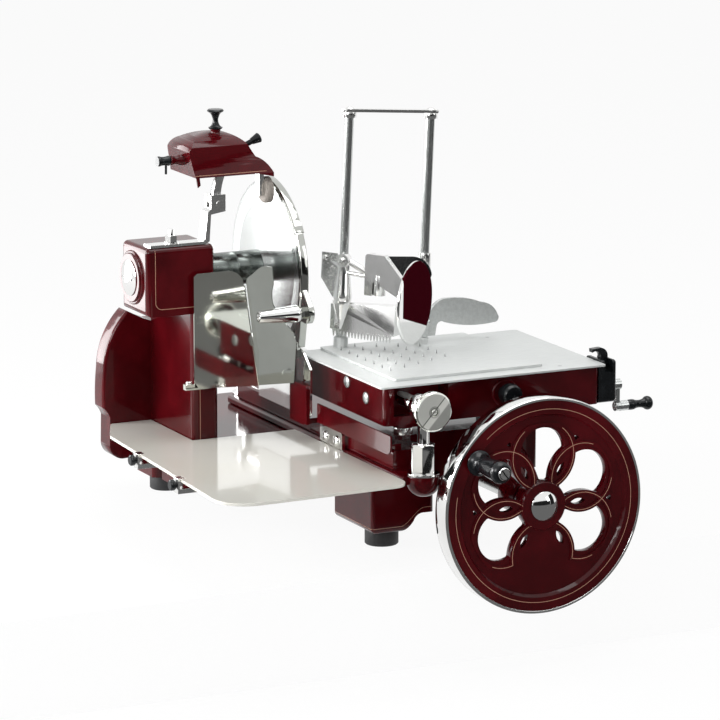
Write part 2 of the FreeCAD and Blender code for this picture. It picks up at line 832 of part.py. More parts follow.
def deflector_plate():
    """Two polished wings that meet in a slanted fold, bolted by a foot to the column."""
    t = deflector_thickness
    fold = V(deflector_fold_x, deflector_fold_y, deflector_fold_bottom)
    left_wing = [
        V(-160, fold.y, fold.z + 4), V(fold.x, fold.y, fold.z - 2), V(-77, fold.y, 415),
        (V(-84, fold.y, 431), V(-105, fold.y, deflector_top)),
        V(deflector_left + 6, fold.y, deflector_top), V(deflector_left, fold.y, deflector_top - 5),
        V(deflector_left, fold.y, fold.z + 16),
    ]
    left = prism(left_wing, V(0, t, 0))
    up = V(-25, 0, 170)
    up.normalize()
    out = V(40, -66, 5)
    out.normalize()

    def on(rise, reach):
        return fold + up * rise + out * reach

    right_wing = [
        on(-1, 0), on(172, 5), (on(183, 8), on(188, 15)), on(201, 33), (on(206, 47), on(204, 61)),
        on(175, 59), (on(154, 52), on(140, 52.5)), on(115, 66), on(99, 81), (on(86, 87), on(73, 87)), on(7, 72),
    ]
    back = up.cross(out)
    right = prism(right_wing, back * t)
    middle = (Y_AXIS + back) * (0.5 * t)
    fillet = bar(fold + middle - up * 6, up, 0.75 * t, 176)
    room = block(-200, 0, fold.y - 10, fold.y + 10, fold.z - 20, fold.z - 2)
    return left.fuse([right, deflector_foot()]).fuse(fillet.cut(room))


def deflector_foot():
    y = deflector_fold_y
    z = deflector_fold_bottom + 2
    shelf = block(shank_left - 17, shank_left + 36, y + 0.5, column_front, z, z + 3)
    pad = block(shank_left + 2, shank_left + 36, column_front - 2, column_front, z, z + 20)
    tab = block(shank_left - 17, shank_left, y + 3, column_front, z, z + 9)
    return shelf.fuse([pad, tab]).removeSplitter()


def deflector_screw():
    x, y, z = shank_left - 9, deflector_fold_y + 7.5, deflector_fold_bottom + 11
    return turned([(0, 0), (5, 0), (5, 3), (3.8, 4.5), (0, 4.5)], V(x, y, z), Z_AXIS)


def tray_edge_x(y):
    """Where the tray's slanted left edge lies at this y."""
    return tray_left + (tray_left_front - tray_left) * (tray_left_y - y) / (tray_left_y - tray_front)


# Receiving tray


def receiving_tray():
    z = tray_top - tray_thickness
    c = tray_corner
    d = 26.0
    inner_x, inner_y = shank_left - 2, column_front - 2
    front_right = tray_front + 11
    corner = V(tray_edge_x(tray_front), tray_front, z)
    points = [
        V(tray_edge_x(tray_front + c), tray_front + c, z),
        (corner + V(0.3 * c, 0.31 * c, 0), corner + V(c, 0.03 * c, 0)),
        V(tray_right - d, front_right - 1, z),
        (V(tray_right - 0.293 * d, front_right + 0.28 * d, z), V(tray_right, front_right + d, z)),
        V(tray_right, inner_y, z),
        V(inner_x, inner_y, z),
        V(inner_x, shank_back - 1, z),
        V(tray_left + 38, shank_back - 1, z),
        V(tray_left + 33, shank_back - 5, z),
        V(tray_left, tray_left_y, z),
    ]
    seats = []
    for y in tray_bars:
        x = tray_edge_x(y)
        seats.append(block(x - 20, x + clip_reach, y - 9, y + 9, tray_top - clip_lip, tray_top + 1))
    return prism(points, V(0, 0, tray_thickness)).cut(seats)


def tray_bars_made():
    """Flat bars that reach from the bed to the tray's free edge and hold it up."""
    made = []
    z1 = tray_top - tray_thickness
    half = tray_bar_width / 2
    for y in tray_bars:
        made.append(block(tray_edge_x(y) + 4, 24, y - half, y + half, z1 - tray_bar_height, z1))
        made.append(block(14, bed_left + 1, y - half, y + half, bed_bottom + 14, bed_step - 0.5))
    post = block(-110, -90, column_front - 12, column_front, bed_step - 14, z1)
    return made + [post]


def tray_clips():
    """Wedges under the tray's left edge, each with a thin lip let into its top face."""
    made = []
    lip = tray_top - clip_lip
    z1 = tray_top - tray_thickness
    low = z1 - tray_bar_height
    for y in tray_bars:
        x = tray_edge_x(y)
        side = [
            V(x - 5, y - 9, low - 8), V(x + 30, y - 9, low - 8), V(x + 34, y - 9, low), V(x - 1.2, y - 9, low),
            V(x - 1.2, y - 9, lip), V(x + clip_reach, y - 9, lip), V(x + clip_reach, y - 9, tray_top), V(x - 5, y - 9, tray_top),
        ]
        made.append(prism(side, V(0, 18, 0)))
    return group(made)


def clip_knobs():
    made = []
    for y in tray_bars:
        z = tray_top - tray_thickness - tray_bar_height / 2
        profile = [(0, 0), (5, 0), (5, 2.5), (8, 2.5), (9, 4), (9, 9), (7, 11), (0, 11)]
        made.append(turned(profile, V(tray_edge_x(y) - 5, y, z), V(-1, 0, 0)))
    return group(made)


# Flywheel


window_angles = (30, 90, 150, 210, 330)


def wheel_point(reach, angle, y=0.0):
    a = radians(angle)
    return V(reach * cos(a), y, reach * sin(a))


def window_tool(angle):
    """A window shaped like a petal: round outside, with sides that follow the two neighbouring rings."""
    r = window_radius
    shape = bar(V(window_reach, 0, 0), Y_AXIS, r, 60)
    shape = shape.fuse(prism([V(hub_radius, 0, -r), V(window_reach, 0, -r), V(window_reach, 0, r), V(hub_radius, 0, r)], V(0, 60, 0)))
    for side in (-60, 60):
        shape = shape.cut(bar(wheel_point(ring_reach, side, -1), Y_AXIS, ring_radius + ring_band / 2, 62))
    shape = shape.cut(bar(V(0, -1, 0), Y_AXIS, hub_radius + 3, 62)).removeSplitter()
    shape = rounded(shape, window_corner, lambda e: runs_along(e, Y_AXIS) and abs(e.CenterOfMass.z) > 6)
    shape.rotate(V(0, 0, 0), Y_AXIS, -angle)
    return shape


def small_hole_tool(angle):
    """A rounded triangle that points at the hub."""
    spots = [wheel_point(small_hole_radius, turn) for turn in (180, 60, -60)]
    shape = prism(spots, V(0, 60, 0))
    shape = rounded(shape, small_hole_radius / 4, lambda e: runs_along(e, Y_AXIS))
    shape.translate(V(small_hole_reach, 0, 0))
    shape.rotate(V(0, 0, 0), Y_AXIS, -angle)
    return shape


def window_bands():
    """The raised band of the ring round each window. Two neighbouring rings cross on each spoke."""
    low, high = web_front_step - ring_rise, web_front_step + 1
    cross = ring_reach * cos(radians(30)) + sqrt(ring_radius**2 - (ring_reach / 2) ** 2)
    rings = []
    for angle in (30, 90, 150, 210, 270, 330):
        centre = wheel_point(ring_reach, angle, low)
        ring = tube(centre, Y_AXIS, ring_radius + ring_band / 2, ring_radius - ring_band / 2, high - low)
        reach = cross if angle == 270 else recess_radius - 15
        ring = ring.common(tube(V(0, low, 0), Y_AXIS, reach, hub_radius - 2, high - low))
        if angle in (210, 330):
            far = wheel_point(400, 240 if angle == 210 else 300, low)
            ring = ring.cut(prism([V(0, low, 0), far, V(0, low, -400)], V(0, high - low, 0)))
        rings.append(ring)
    return rings[0].fuse(rings[1:])


def flywheel_disc():
    depth = wheel_depth
    outer = wheel_radius - rim_thickness
    step, web = web_front_step, web_thickness
    profile = [
        (shaft_radius, 0), (hub_radius, 0), (hub_radius + 2, -2), (hub_radius + 3, -step), (recess_radius - 4, -step),
        (recess_radius, 0), (outer, 0), (outer, -depth), (outer - rim_band, -depth),
        (outer - rim_band - 3, -step - web), (hub_radius, -step - web), (hub_radius - 4, -depth - 4), (shaft_radius, -depth - 4),
    ]
    shape = turned(profile, V(0, 0, 0), V(0, -1, 0))
    tools = [window_tool(angle) for angle in window_angles]
    for k in range(6):
        slot = wheel_point(slot_reach, 60 * k)
        along = wheel_point(1, 60 * k) * slot_half_length
        across = wheel_point(1, 60 * k + 90) * slot_half_width
        lens = [slot - along, (slot + across, slot + along), (slot - across, slot - along)]
        tools.append(prism(lens, V(0, 60, 0)))
    for angle in (0, 60, 120, 180):
        tools.append(small_hole_tool(angle))
    at_pin = wheel_point(handle_reach, handle_angle)
    tools.append(bar(at_pin, Y_AXIS, grip_spindle, 60))
    for tool in tools:
        tool.translate(V(0, -10, 0))
    shape = shape.cut(tools)
    bands = window_bands().cut(tools)
    shape = shape.fuse(bands).cut(bar(at_pin, Y_AXIS, pin_seat_radius, step))
    shape.translate(V(wheel_x, wheel_front, wheel_z))
    return shape


def flywheel_rim():
    r = wheel_radius
    inner = r - rim_thickness
    profile = [
        (inner, 1), (r - 1.5, 1), (r, -1), (r, -wheel_depth + 1), (r - 1, -wheel_depth - 1),
        (inner - 3, -wheel_depth - 1), (inner - 3, -wheel_depth), (inner, -wheel_depth),
    ]
    return turned(profile, V(wheel_x, wheel_front, wheel_z), V(0, -1, 0))


def hub_cap():
    r = hub_cap_radius
    profile = [(0, 0), (r, 0), (r, 2), dome(r, 2, 9)]
    return turned(profile, V(wheel_x, wheel_front, wheel_z), V(0, -1, 0))


def flywheel_shaft():
    gear_face = pinion_teeth * gear_module / 2
    length = -gear_face - wheel_front
    shape = bar(V(wheel_x, wheel_front, wheel_z), Y_AXIS, shaft_radius, length)
    gear = bevel_gear(wheel_teeth, gear_module, pinion_teeth, shaft_radius - 4)
    return shape.fuse(placed(gear, V(wheel_x, 0, wheel_z), V(0, -1, 0)))


def bearing_bushes():
    inner, outer = shaft_radius + running_gap, shaft_radius + bush_wall
    made = [tube(V(wheel_x, neck_front, wheel_z), Y_AXIS, outer, inner, neck_boss_length)]
    made.append(tube(V(wheel_x, wheel_bush_y, wheel_z), Y_AXIS, outer, inner, bush_length))
    for x in cross_bush_spots:
        made.append(tube(V(x, 0, wheel_z), X_AXIS, cross_radius + bush_wall, cross_radius + running_gap, bush_length))
    inner, outer = upright_radius + running_gap, upright_radius + 3
    for z in upright_bush_spots:
        made.append(tube(V(upright_x, 0, z), Z_AXIS, outer, inner, bush_length))
    return group(made + spindle_bushes())


def handle_pin():
    """The pin the grip turns on, with a seat on the wheel and a slotted cap at its end."""
    at = wheel_point(handle_reach, handle_angle)
    base = V(wheel_x + at.x, wheel_front, wheel_z + at.z)
    shaft = bar(base + V(0, 14, 0), V(0, -1, 0), grip_spindle, 14 + grip_length + 5)
    seat = bar(base + V(0, web_front_step, 0), V(0, -1, 0), pin_seat_radius, web_front_step + 1.6)
    return shaft.fuse([seat, handle_cap()]).removeSplitter()


def handle_grip():
    at = wheel_point(handle_reach, handle_angle)
    base = V(wheel_x + at.x, wheel_front - 2, wheel_z + at.z)
    bore = grip_spindle + running_gap
    n = grip_length
    profile = [
        (bore, 0), (19, 0), ((21, 2.5), (19.5, 6)), ((14.2, 14), (14, 26)), ((15.6, 44), (17, n - 16)),
        ((16.8, n - 5), (13, n)), (bore, n),
    ]
    return turned(profile, base, V(0, -1, 0))


def handle_cap():
    at = wheel_point(handle_reach, handle_angle)
    base = V(wheel_x + at.x, wheel_front - 2 - grip_length - 0.4, wheel_z + at.z)
    cap = turned([(0, 0), (10.5, 0), (10.5, 3), (9, 5), (0, 5)], base, V(0, -1, 0))
    return cap.cut(block(base.x - 8, base.x + 8, base.y - 6, base.y - 3.8, base.z - 0.9, base.z + 0.9))


# Gear train


def cross_shaft():
    right = wheel_x - wheel_teeth * gear_module / 2 + 2
    left = upright_x + pinion_teeth * gear_module / 2 + 2
    shape = bar(V(left, 0, wheel_z), X_AXIS, cross_radius, right - left)
    pinion = turned_half_tooth(bevel_gear(pinion_teeth, gear_module, wheel_teeth, 4), pinion_teeth)
    pinion = placed(pinion, V(wheel_x, 0, wheel_z), V(-1, 0, 0))
    corner_gear = placed(bevel_gear(pinion_teeth, gear_module, pinion_teeth, 4), V(upright_x, 0, wheel_z), X_AXIS)
    return shape.fuse([pinion, corner_gear, stroke_crank()])


def turned_half_tooth(gear, teeth):
    """The same gear turned by half a tooth, so that it meshes with its mate."""
    gear = gear.copy()
    gear.rotate(V(0, 0, 0), Z_AXIS, 180.0 / teeth)
    return gear.transformGeometry(FreeCAD.Matrix())


def stroke_crank():
    x = crank_disc_x
    disc = bar(V(x, 0, wheel_z), X_AXIS, crank_disc_radius, 10)
    pin = bar(V(x + 10, crank_disc_radius - 10, wheel_z), X_AXIS, 6, 12)
    return disc.fuse(pin).removeSplitter()


def upright_shaft():
    low = wheel_z + pinion_teeth * gear_module / 2 + 2
    high = spindle_z - top_teeth * top_module / 2 - 2
    shape = bar(V(upright_x, 0, low), Z_AXIS, upright_radius, high - low)
    pinion = turned_half_tooth(bevel_gear(pinion_teeth, gear_module, pinion_teeth, 4), pinion_teeth)
    pinion.translate(V(upright_x, 0, wheel_z))
    top = placed(bevel_gear(top_teeth, top_module, top_teeth, 4), V(upright_x, 0, spindle_z), V(0, 0, -1))
    return shape.fuse([pinion, top])


def blade_spindle():
    left = head_left + 2
    shape = bar(V(left, 0, spindle_z), X_AXIS, spindle_radius, blade_thickness - blade_dish - left)
    gear = turned_half_tooth(bevel_gear(top_teeth, top_module, top_teeth, spindle_radius - 3), top_teeth)
    gear = placed(gear, V(upright_x, 0, spindle_z), V(-1, 0, 0))
    flange = bar(V(sleeve_right + 0.5, 0, spindle_z), X_AXIS, blade_flange_radius, -blade_dish - sleeve_right - 0.5)
    return shape.fuse([gear, flange, blade_nut()]).removeSplitter()


def blade():
    """A dished knife: flat hub to the left, a hollow cone, and a bevelled edge in the plane x = 0."""
    r, t, dish = blade_radius, blade_thickness, blade_dish
    bore = spindle_radius
    profile = [
        (bore, -dish), (blade_flange_radius + 6, -dish), (r - 34, -t), (r - 12, -t), (r, -0.4), (r, 0),
        (r - 38, 0), (blade_flange_radius + 10, -dish + t), (bore, -dish + t),
    ]
    return turned(profile, V(0, 0, spindle_z), X_AXIS)


def blade_nut():
    nut = placed(hexagon(V(0, 0, 0), 30, 6), V(-blade_dish + blade_thickness, 0, spindle_z), X_AXIS)
    return nut


# Carriage


def carriage_box():
    w = box_wall
    shape = block(box_left, box_right, box_front, box_back, box_bottom, box_top)
    shape = rounded(shape, 8, lambda e: runs_along(e, Z_AXIS))
    shape = shape.cut(block(box_left + w, box_right - w, box_front + w, box_back - w, box_bottom - 1, box_top + 1))
    z0 = box_bottom + mouth_sill
    for y in (box_front - 1, box_back - w - 1):
        shape = shape.cut(block(mouth_left, mouth_right, y, y + w + 2, z0, box_top + 1))
    ribs = []
    for y in bush_ribs:
        ribs.append(block(box_left + w - 1, mouth_right + 10, y, y + rib_thickness, box_bottom + 6, box_top))
    ribs.append(block(mouth_right + 2, mouth_right + 12, box_front + w - 1, box_back - w + 1, box_bottom, box_top))
    x, y = wheel_roller_x, wheel_roller_y
    ribs.append(block(x - 22, x - 14, box_front + w - 1, box_back - w + 1, box_bottom, box_top - 8))
    ribs.append(block(x - 22, x - 14, y - 16, y + 16, roller_axis_z - 12, box_bottom + 10))
    drop = guide_roller_drop
    ribs.append(block(rod_x - 18, rod_x + 18, box_front + 4, box_front + 40, box_bottom - drop, box_bottom + 8))
    shape = shape.fuse(ribs).removeSplitter()
    holes = [bar(V(rod_x, box_front + w, rod_z), Y_AXIS, rod_radius + running_gap, box_back - box_front - 2 * w)]
    holes.append(bar(V(mouth_right, feed_y, feed_z), X_AXIS, feed_radius + running_gap, bracket_right))
    holes.append(bar(V(knob_x, box_front - 1, knob_z), Y_AXIS, 8.0, w + 2))
    holes.append(bar(V(rod_x, box_front + 22, box_bottom - drop - 1), Z_AXIS, 5, 12 + drop))
    shape = shape.cut(holes)
    return shape.fuse([plug_ring(), roller_axle()]).removeSplitter()


knob_x = 238.0
knob_z = 268.0
roller_axis_z = bed_top + air_gap + wheel_roller_radius


def lower_table():
    z = box_top
    plate = block(table_left, table_right, table_front, table_back, z, z + table_thickness)
    plate = rounded(plate, 5, lambda e: runs_along(e, Z_AXIS))
    slot = block(mouth_right + 16, plate_right - 20, feed_y - 5, feed_y + 5, z - 1, z + table_thickness + 1)
    return plate.cut(slot)


side_bolt_spots = ((-257.0, 279.0), (-327.0, 266.0))


def side_bolts():
    made = []
    for y, z in side_bolt_spots:
        made.append(turned([(0, 0), (10, 0), (10, 1.2), dome(10, 1.2, 2.6)], V(box_left, y, z), V(-1, 0, 0)))
    return group(made)


def plug_ring():
    return turned([(8.5, 0), (23, 0), (23, 2), (21, 3.5), (19, 3.5), (19, 1.5), (8.5, 1.5)],
                  V(knob_x, box_front, knob_z), V(0, -1, 0))


def thickness_knob():
    profile = [
        (0, -5.8), (7.9, -5.8), (7.9, 1.9), (13, 1.9), (14, 6), (16.5, 10), (18, 14), ((18.4, 22), (17.5, 30)),
        (15, 34), (0, 35),
    ]
    return turned(profile, V(knob_x, box_front, knob_z), V(0, -1, 0))


def guide_roller():
    x, y = rod_x, box_front + 22
    z1 = box_bottom - guide_roller_drop - air_gap
    r = guide_roller_radius
    profile = [(5 + running_gap, 0), (r - 2, 0), (r, 2), (r, 13), (r - 2, 15), (5 + running_gap, 15)]
    return turned(profile, V(x, y, z1 - 15), Z_AXIS)


def roller_bolt():
    x, y = rod_x, box_front + 22
    z = box_bottom - guide_roller_drop - air_gap - 15 - air_gap
    head = hexagon(V(x, y, z - 6), 24, 6)
    return head.fuse(bar(V(x, y, z - 1), Z_AXIS, 5, 30)).removeSplitter()


def support_roller():
    r = wheel_roller_radius
    y = wheel_roller_y
    profile = [(5 + running_gap, 0), (r - 1, 0), (r, 1), (r, 13), (r - 1, 14), (5 + running_gap, 14)]
    return turned(profile, V(wheel_roller_x - 14 + air_gap, y, roller_axis_z), X_AXIS)


def roller_axle():
    pin = bar(V(wheel_roller_x - 22, wheel_roller_y, roller_axis_z), X_AXIS, 5, 27)
    return pin.fuse(bar(V(wheel_roller_x + 0.8, wheel_roller_y, roller_axis_z), X_AXIS, 8, 4.2))


def end_bracket():
    """The black block at the table's far corner, which carries the feed screw's outer end."""
    x0, x1 = box_right, bracket_right
    body = block(x0, x1, bracket_front, bracket_back, box_bottom, 303)
    body = rounded(body, 6, lambda e: e.CenterOfMass.x > x0 + 1)
    body = body.cut(block(x0 - 1, table_right + 1, -420, -300, box_top - 1, box_top + table_thickness + 30))
    arch = block(x0 + 11, x1 - 8, bracket_front - 1, bracket_back + 1, 283, 320)
    body = body.cut(arch)
    body = body.fuse(bar(V(x0 + 10.5, feed_y, lever_pin_z), X_AXIS, 3.5, x1 - 7.5 - x0 - 10.5))
    return body.cut(bar(V(x0 - 1, feed_y, feed_z), X_AXIS, feed_radius + running_gap, 50))


def release_lever():
    """A hooked lever on a pin in the bracket's fork, which lets the feed nut go."""
    y0 = feed_y - 6
    x = box_right + 12.3
    hook = [
        V(x, y0, 286.5), V(x + 13, y0, 286.5), V(x + 13, y0, 306), (V(x + 9, y0, 317), V(x - 2, y0, 321)),
        V(x - 16, y0, 320), V(x - 15.5, y0, 314), (V(x - 4, y0, 314), V(x, y0, 305)),
    ]
    shape = prism(hook, V(0, 12, 0))
    return shape.cut(bar(V(x - 1, feed_y, lever_pin_z), X_AXIS, 3.5 + running_gap, 20))


def feed_screw():
    shape = bar(V(feed_left, feed_y, feed_z), X_AXIS, feed_radius, bracket_right + 10 - feed_left)
    collar = bar(V(mouth_right + 12.3, feed_y, feed_z), X_AXIS, 9, 5)
    return shape.fuse([collar, feed_crank(), crank_collar()]).removeSplitter()


def feed_crank():
    x = bracket_right + air_gap
    n = crank_hub_length
    hub = bar(V(x, feed_y, feed_z), X_AXIS, 9, n)
    arm = block(x + n - 8, x + n - 2, feed_y - 5, feed_y + 5, feed_z - crank_throw, feed_z)
    end = bar(V(x + n - 9, feed_y, feed_z - crank_throw), X_AXIS, 8, 9)
    shape = hub.fuse([arm, end])
    length = 9 + crank_collar_length + crank_grip_length - 3
    return shape.fuse(bar(V(x + n - 9, feed_y, feed_z - crank_throw), X_AXIS, 4, length)).removeSplitter()


def crank_collar():
    x = bracket_right + air_gap + crank_hub_length
    return tube(V(x, feed_y, feed_z - crank_throw), X_AXIS, 8.5, 4, crank_collar_length)


def crank_grip():
    x = bracket_right + 2 * air_gap + crank_hub_length + crank_collar_length
    bore = 4 + running_gap
    n = crank_grip_length
    profile = [
        (bore, 0), (8, 0), ((8.8, 5), (8.5, 12)), ((6.3, 22), (8.6, n - 13)), ((11.5, n - 6), (8, n)), (bore, n),
    ]
    return turned(profile, V(x, feed_y, feed_z - crank_throw), X_AXIS)


# Sliding table and the meat clamp

plate_bottom = box_top + table_thickness + air_gap
plate_top = plate_bottom + plate_thickness


def upper_table():
    plate = block(plate_left, plate_right, plate_front, plate_back, plate_bottom, plate_top)
    plate = rounded(plate, 6, lambda e: runs_along(e, Z_AXIS))
    web = block(204, 224, feed_y - 4, feed_y + 4, feed_z + 8, plate_bottom + 1)
    nut = block(202, 226, feed_y - 11, feed_y + 11, feed_z - 11, feed_z + 12)
    shape = plate.fuse([web, nut, clamp_foot()]).removeSplitter()
    return shape.cut(bar(V(190, feed_y, feed_z), X_AXIS, feed_radius + running_gap, 50))


def table_spikes():
    """Columns of small cones. Each column has one fewer than the last and starts half a step further in."""
    made = []
    for i in range(spike_columns):
        for j in range(spike_rows - i):
            x = plate_left + spike_left_margin + spike_column_step * i
            y = plate_front + spike_front_margin + spike_step * (j + 0.5 * i)
            if beside_post(x, y):
                continue
            made.append(Part.makeCone(spike_radius, 0.15, spike_height, V(x, y, plate_top)))
    return group(made)


def beside_post(x, y):
    """True where a clamp post's foot covers the table."""
    spots = [clamp_place(Part.Vertex(px, 0, plate_top), post_turn).Point for px in (0, post_spacing)]
    return min(hypot(x - s.x, y - s.y) for s in spots) < clamp_foot_radius + 3


def clamp_place(shape, turn=None):
    """Turns a piece made in the clamp's own frame and sets it on the left post, which leans a little.

    There the left post stands on the origin, z is height, and +X runs along the posts or the jaw.
    """
    turn = jaw_turn if turn is None else turn
    spot = V(clamp_post[0], clamp_post[1], 0)
    lean = FreeCAD.Rotation(Y_AXIS, clamp_lean)
    foot = V(clamp_post[0], clamp_post[1], plate_top)
    upright = FreeCAD.Placement(foot - lean.multVec(foot), lean)
    shape = shape.copy()
    stand = FreeCAD.Placement(spot, FreeCAD.Rotation(Z_AXIS, -turn))
    shape.Placement = upright.multiply(stand).multiply(shape.Placement)
    return shape


def post_in_jaw_frame():
    """The right post's place as the jaw's frame sees it."""
    a = radians(jaw_turn - post_turn)
    return V(post_spacing * cos(a), post_spacing * sin(a), 0)


def clamp_foot():
    r, h = clamp_foot_radius, clamp_foot_height
    feet_made = []
    for x in (0, post_spacing):
        foot = turned([(0, -12), (r, -12), (r, h - 3), (r - 3, h), (0, h)], V(x, 0, plate_top), Z_AXIS)
        foot = clamp_place(foot, post_turn).cut(post_core(x))
        feet_made.append(foot.cut(under_plate(plate_top - 1)))
    return feet_made[0].fuse(feet_made[1])


def post_core(x):
    """A leaning post that stands on the plate's top face."""
    low = plate_top - 12
    core = bar(V(x, 0, low), Z_AXIS, clamp_post_radius, clamp_post_top - low)
    return clamp_place(core, post_turn).cut(under_plate(plate_top))


def under_plate(height):
    return block(plate_left - 50, plate_right + 50, plate_front - 50, plate_back + 50, height - 60, height)


def clamp_posts():
    return group([post_core(x) for x in (0, post_spacing)])


def clamp_top_bar():
    z = clamp_post_top
    strip = block(-14, post_spacing + 14, -7, 7, z, z + 5)
    strip = rounded(strip, 6.5, lambda e: runs_along(e, Z_AXIS))
    ends = []
    for x in (0, post_spacing):
        ends.append(tube(V(x, 0, z - 9), Z_AXIS, 11.5, clamp_post_radius, 9))
        ends.append(turned([(0, 0), (8, 0), dome(8, 0, 4)], V(x, 0, z + 5), Z_AXIS))
    return clamp_place(strip.fuse(ends).removeSplitter(), post_turn)


jaw_front = -12.0
jaw_back = 13.0


def clamp_jaw():
    """The pressing bar, the two bosses that slide on the posts, and the hub of the pressure arm."""
    f, b = jaw_front, jaw_back
    low, high = jaw_bottom, jaw_top
    front_view = [V(-15, f, low), V(jaw_length - 15, f, low), V(jaw_length - 14, f, high + 8), V(-15, f, high)]
    jaw = prism(front_view, V(0, b - f, 0))
    nose = Part.makeCone(19, 2, 46, V(4, -4, high + 4), V(0, -0.18, -1))
    r = clamp_boss_radius
    left_boss = turned([(0, low + 4), (r + 3, low + 4), (r + 3, high), (r + 5, high + 12), ((r + 2, 412), (r, 434)), (r, 446), (0, 446)],
                       V(0, 0, 0), Z_AXIS)
    far = post_in_jaw_frame()
    right_boss = bar(V(far.x, far.y, low + 14), Z_AXIS, r, 463 - low - 14)
    tie = prism([V(62, b - 6, low + 14), V(92, b - 6, low + 14), V(far.x + 5, far.y, low + 14), V(far.x - 9, far.y, low + 14)],
                V(0, 0, 20))
    left_plate = prism(
        [V(-37, -9, 461), V(-9, -9, 461), V(-5, -9, 452), V(-5, -9, 400), V(-11, -9, 384), V(-16, -9, 390), V(-37, -9, 418)],
        V(0, 3, 0),
    )
    hub = bar(V(7, -20, 452), Y_AXIS, 11, 14)
    block_left = pressure_block_left
    upper = V(block_left, -5, 435) - V(10, -8, 452)
    link = bar(V(10, -8, 452), upper, 5.5, upper.Length)
    lower = V(block_left, -2, 428) - V(8, -2, 430)
    rod = bar(V(8, -2, 430), lower, 4, lower.Length)
    room = block(block_left, block_left + 40, -60, 60, 300, 500)
    arms = link.fuse(rod).cut(room)
    shape = jaw.fuse([nose, left_boss, right_boss, tie, left_plate, hub, arms] + jaw_screws()).removeSplitter()
    for x, y in ((0, 0), (far.x, far.y)):
        shape = shape.cut(bar(V(x, y, 300), Z_AXIS, clamp_post_radius + running_gap, 200))
    shape = shape.cut(press_back_blank())
    return clamp_place(shape)


def press_back_blank():
    """The upright back plate in the jaw's frame."""
    y0 = -clamp_boss_radius - 1.0
    z0, z1 = 424.0, 458.0
    outline = [
        V(54, y0, z0 + 8), V(70, y0, z0), V(146, y0, z0), V(147, y0, z0 + 4), (V(137, y0, z1 - 10), V(112, y0, z1)), V(54, y0, z1),
    ]
    plate = prism(outline, V(0, 3, 0))
    plate = plate.copy()
    plate.Placement = FreeCAD.Placement(V(0, 0, 0), FreeCAD.Rotation(Z_AXIS, jaw_turn - post_turn))
    return plate


def jaw_comb():
    y0, y1 = jaw_front + 0.5, jaw_front + 3.5
    z1 = jaw_bottom
    start = -12.0
    pitch = (jaw_length - 8) / comb_teeth
    points = [V(start, y0, z1)]
    for k in range(comb_teeth):
        x = start + k * pitch
        points += [V(x + 0.2 * pitch, y0, z1 - 3), V(x + 0.45 * pitch, y0, z1 - comb_depth)]
        points += [V(x + 0.6 * pitch, y0, z1 - comb_depth), V(x + 0.85 * pitch, y0, z1 - 3)]
    points += [V(start + comb_teeth * pitch, y0, z1)]
    return clamp_place(prism(points, V(0, y1 - y0, 0)))


def disc_axis():
    a = radians(jaw_turn - disc_turn)
    return V(cos(a), sin(a), 0)


def pressure_arm():
    """The upright block beside the hub and the tapering arm that leads to the round end plate."""
    x0 = pressure_block_left
    y0, y1 = -12.0, 3.0
    upright = block(x0, x0 + 14, y0, y1, 398, 467)
    upright = rounded(upright, 5, lambda e: runs_along(e, Y_AXIS) and e.CenterOfMass.z > 450)
    end = end_disc_along + 4
    profile = [
        V(x0 + 10, y0, 467), V(81, y0, 467), V(112, y0, 434), V(end, y0, 409), V(end, y0, 387),
        V(104, y0, 402), V(63, y0, 421), V(x0 + 10, y0, 416),
    ]
    arm = prism(profile, V(0, 11, 0))
    pin = bar(V(x0 + 24, -3, 399), Z_AXIS, 10, 34)
    shape = upright.fuse([arm, pin]).removeSplitter()
    beyond = bar(end_disc_centre(), disc_axis(), 2 * end_disc_radius, 60)
    shape = shape.cut([beyond, press_back_blank()])
    return clamp_place(shape)


def end_disc_centre():
    return V(end_disc_along, end_disc_across, end_disc_z)


def round_end_plate():
    r = end_disc_radius
    disc = turned([(0, 0), (r, 0), (r, 3.5), (r - 1.5, 5), (0, 5)], end_disc_centre(), disc_axis())
    return clamp_place(disc)


def bowed_shell():
    return clamp_place(press_back_blank())


def jaw_screws():
    left = turned([(0, 0), (5, 0), (5, 2), dome(5, 2, 1.6)], V(-30, -9, 452), V(0, -1, 0))
    hub_face = turned([(0, 0), (5, 0), (5, 1.4), dome(5, 1.4, 1)], V(7, -20, 452), V(0, -1, 0))
    return [left, hub_face]


def right_post_line():
    """A point low on the right post's axis and the direction it leans in."""
    foot = clamp_place(Part.Vertex(post_spacing, 0, plate_top + clamp_foot_height + air_gap), post_turn).Point
    lean = FreeCAD.Rotation(Y_AXIS, clamp_lean).multVec(Z_AXIS)
    return foot, lean




def wing_handle():
    """A leaf-shaped hand lever whose hub turns on the right post's foot and locks the table."""
    h = wing_hub_height
    side = [
        V(9, 0, 0), V(24, 0, 0), V(26, 0, 17), (V(31, 0, 23), V(40, 0, 22)), (V(87, 0, 15), V(134, 0, 18)),
        (V(142, 0, 24), V(140, 0, 31)), (V(127, 0, 47), V(108, 0, 53)), (V(78, 0, 61), V(46, 0, 62)),
        (V(24, 0, 55), V(13, 0, 38)), V(13, 0, h), V(9, 0, h),
    ]
    leaf = prism(side, V(0, 8, 0))
    leaf.translate(V(0, -4, 0))
    hub = bar(V(0, 0, 0), Z_AXIS, wing_hub_radius, h)
    shape = hub.fuse(leaf).removeSplitter()
    shape = shape.cut(bar(V(0, 0, -1), Z_AXIS, clamp_post_radius + running_gap, 80))
    foot, lean = right_post_line()
    return placed(shape, foot, lean)


# Sharpener


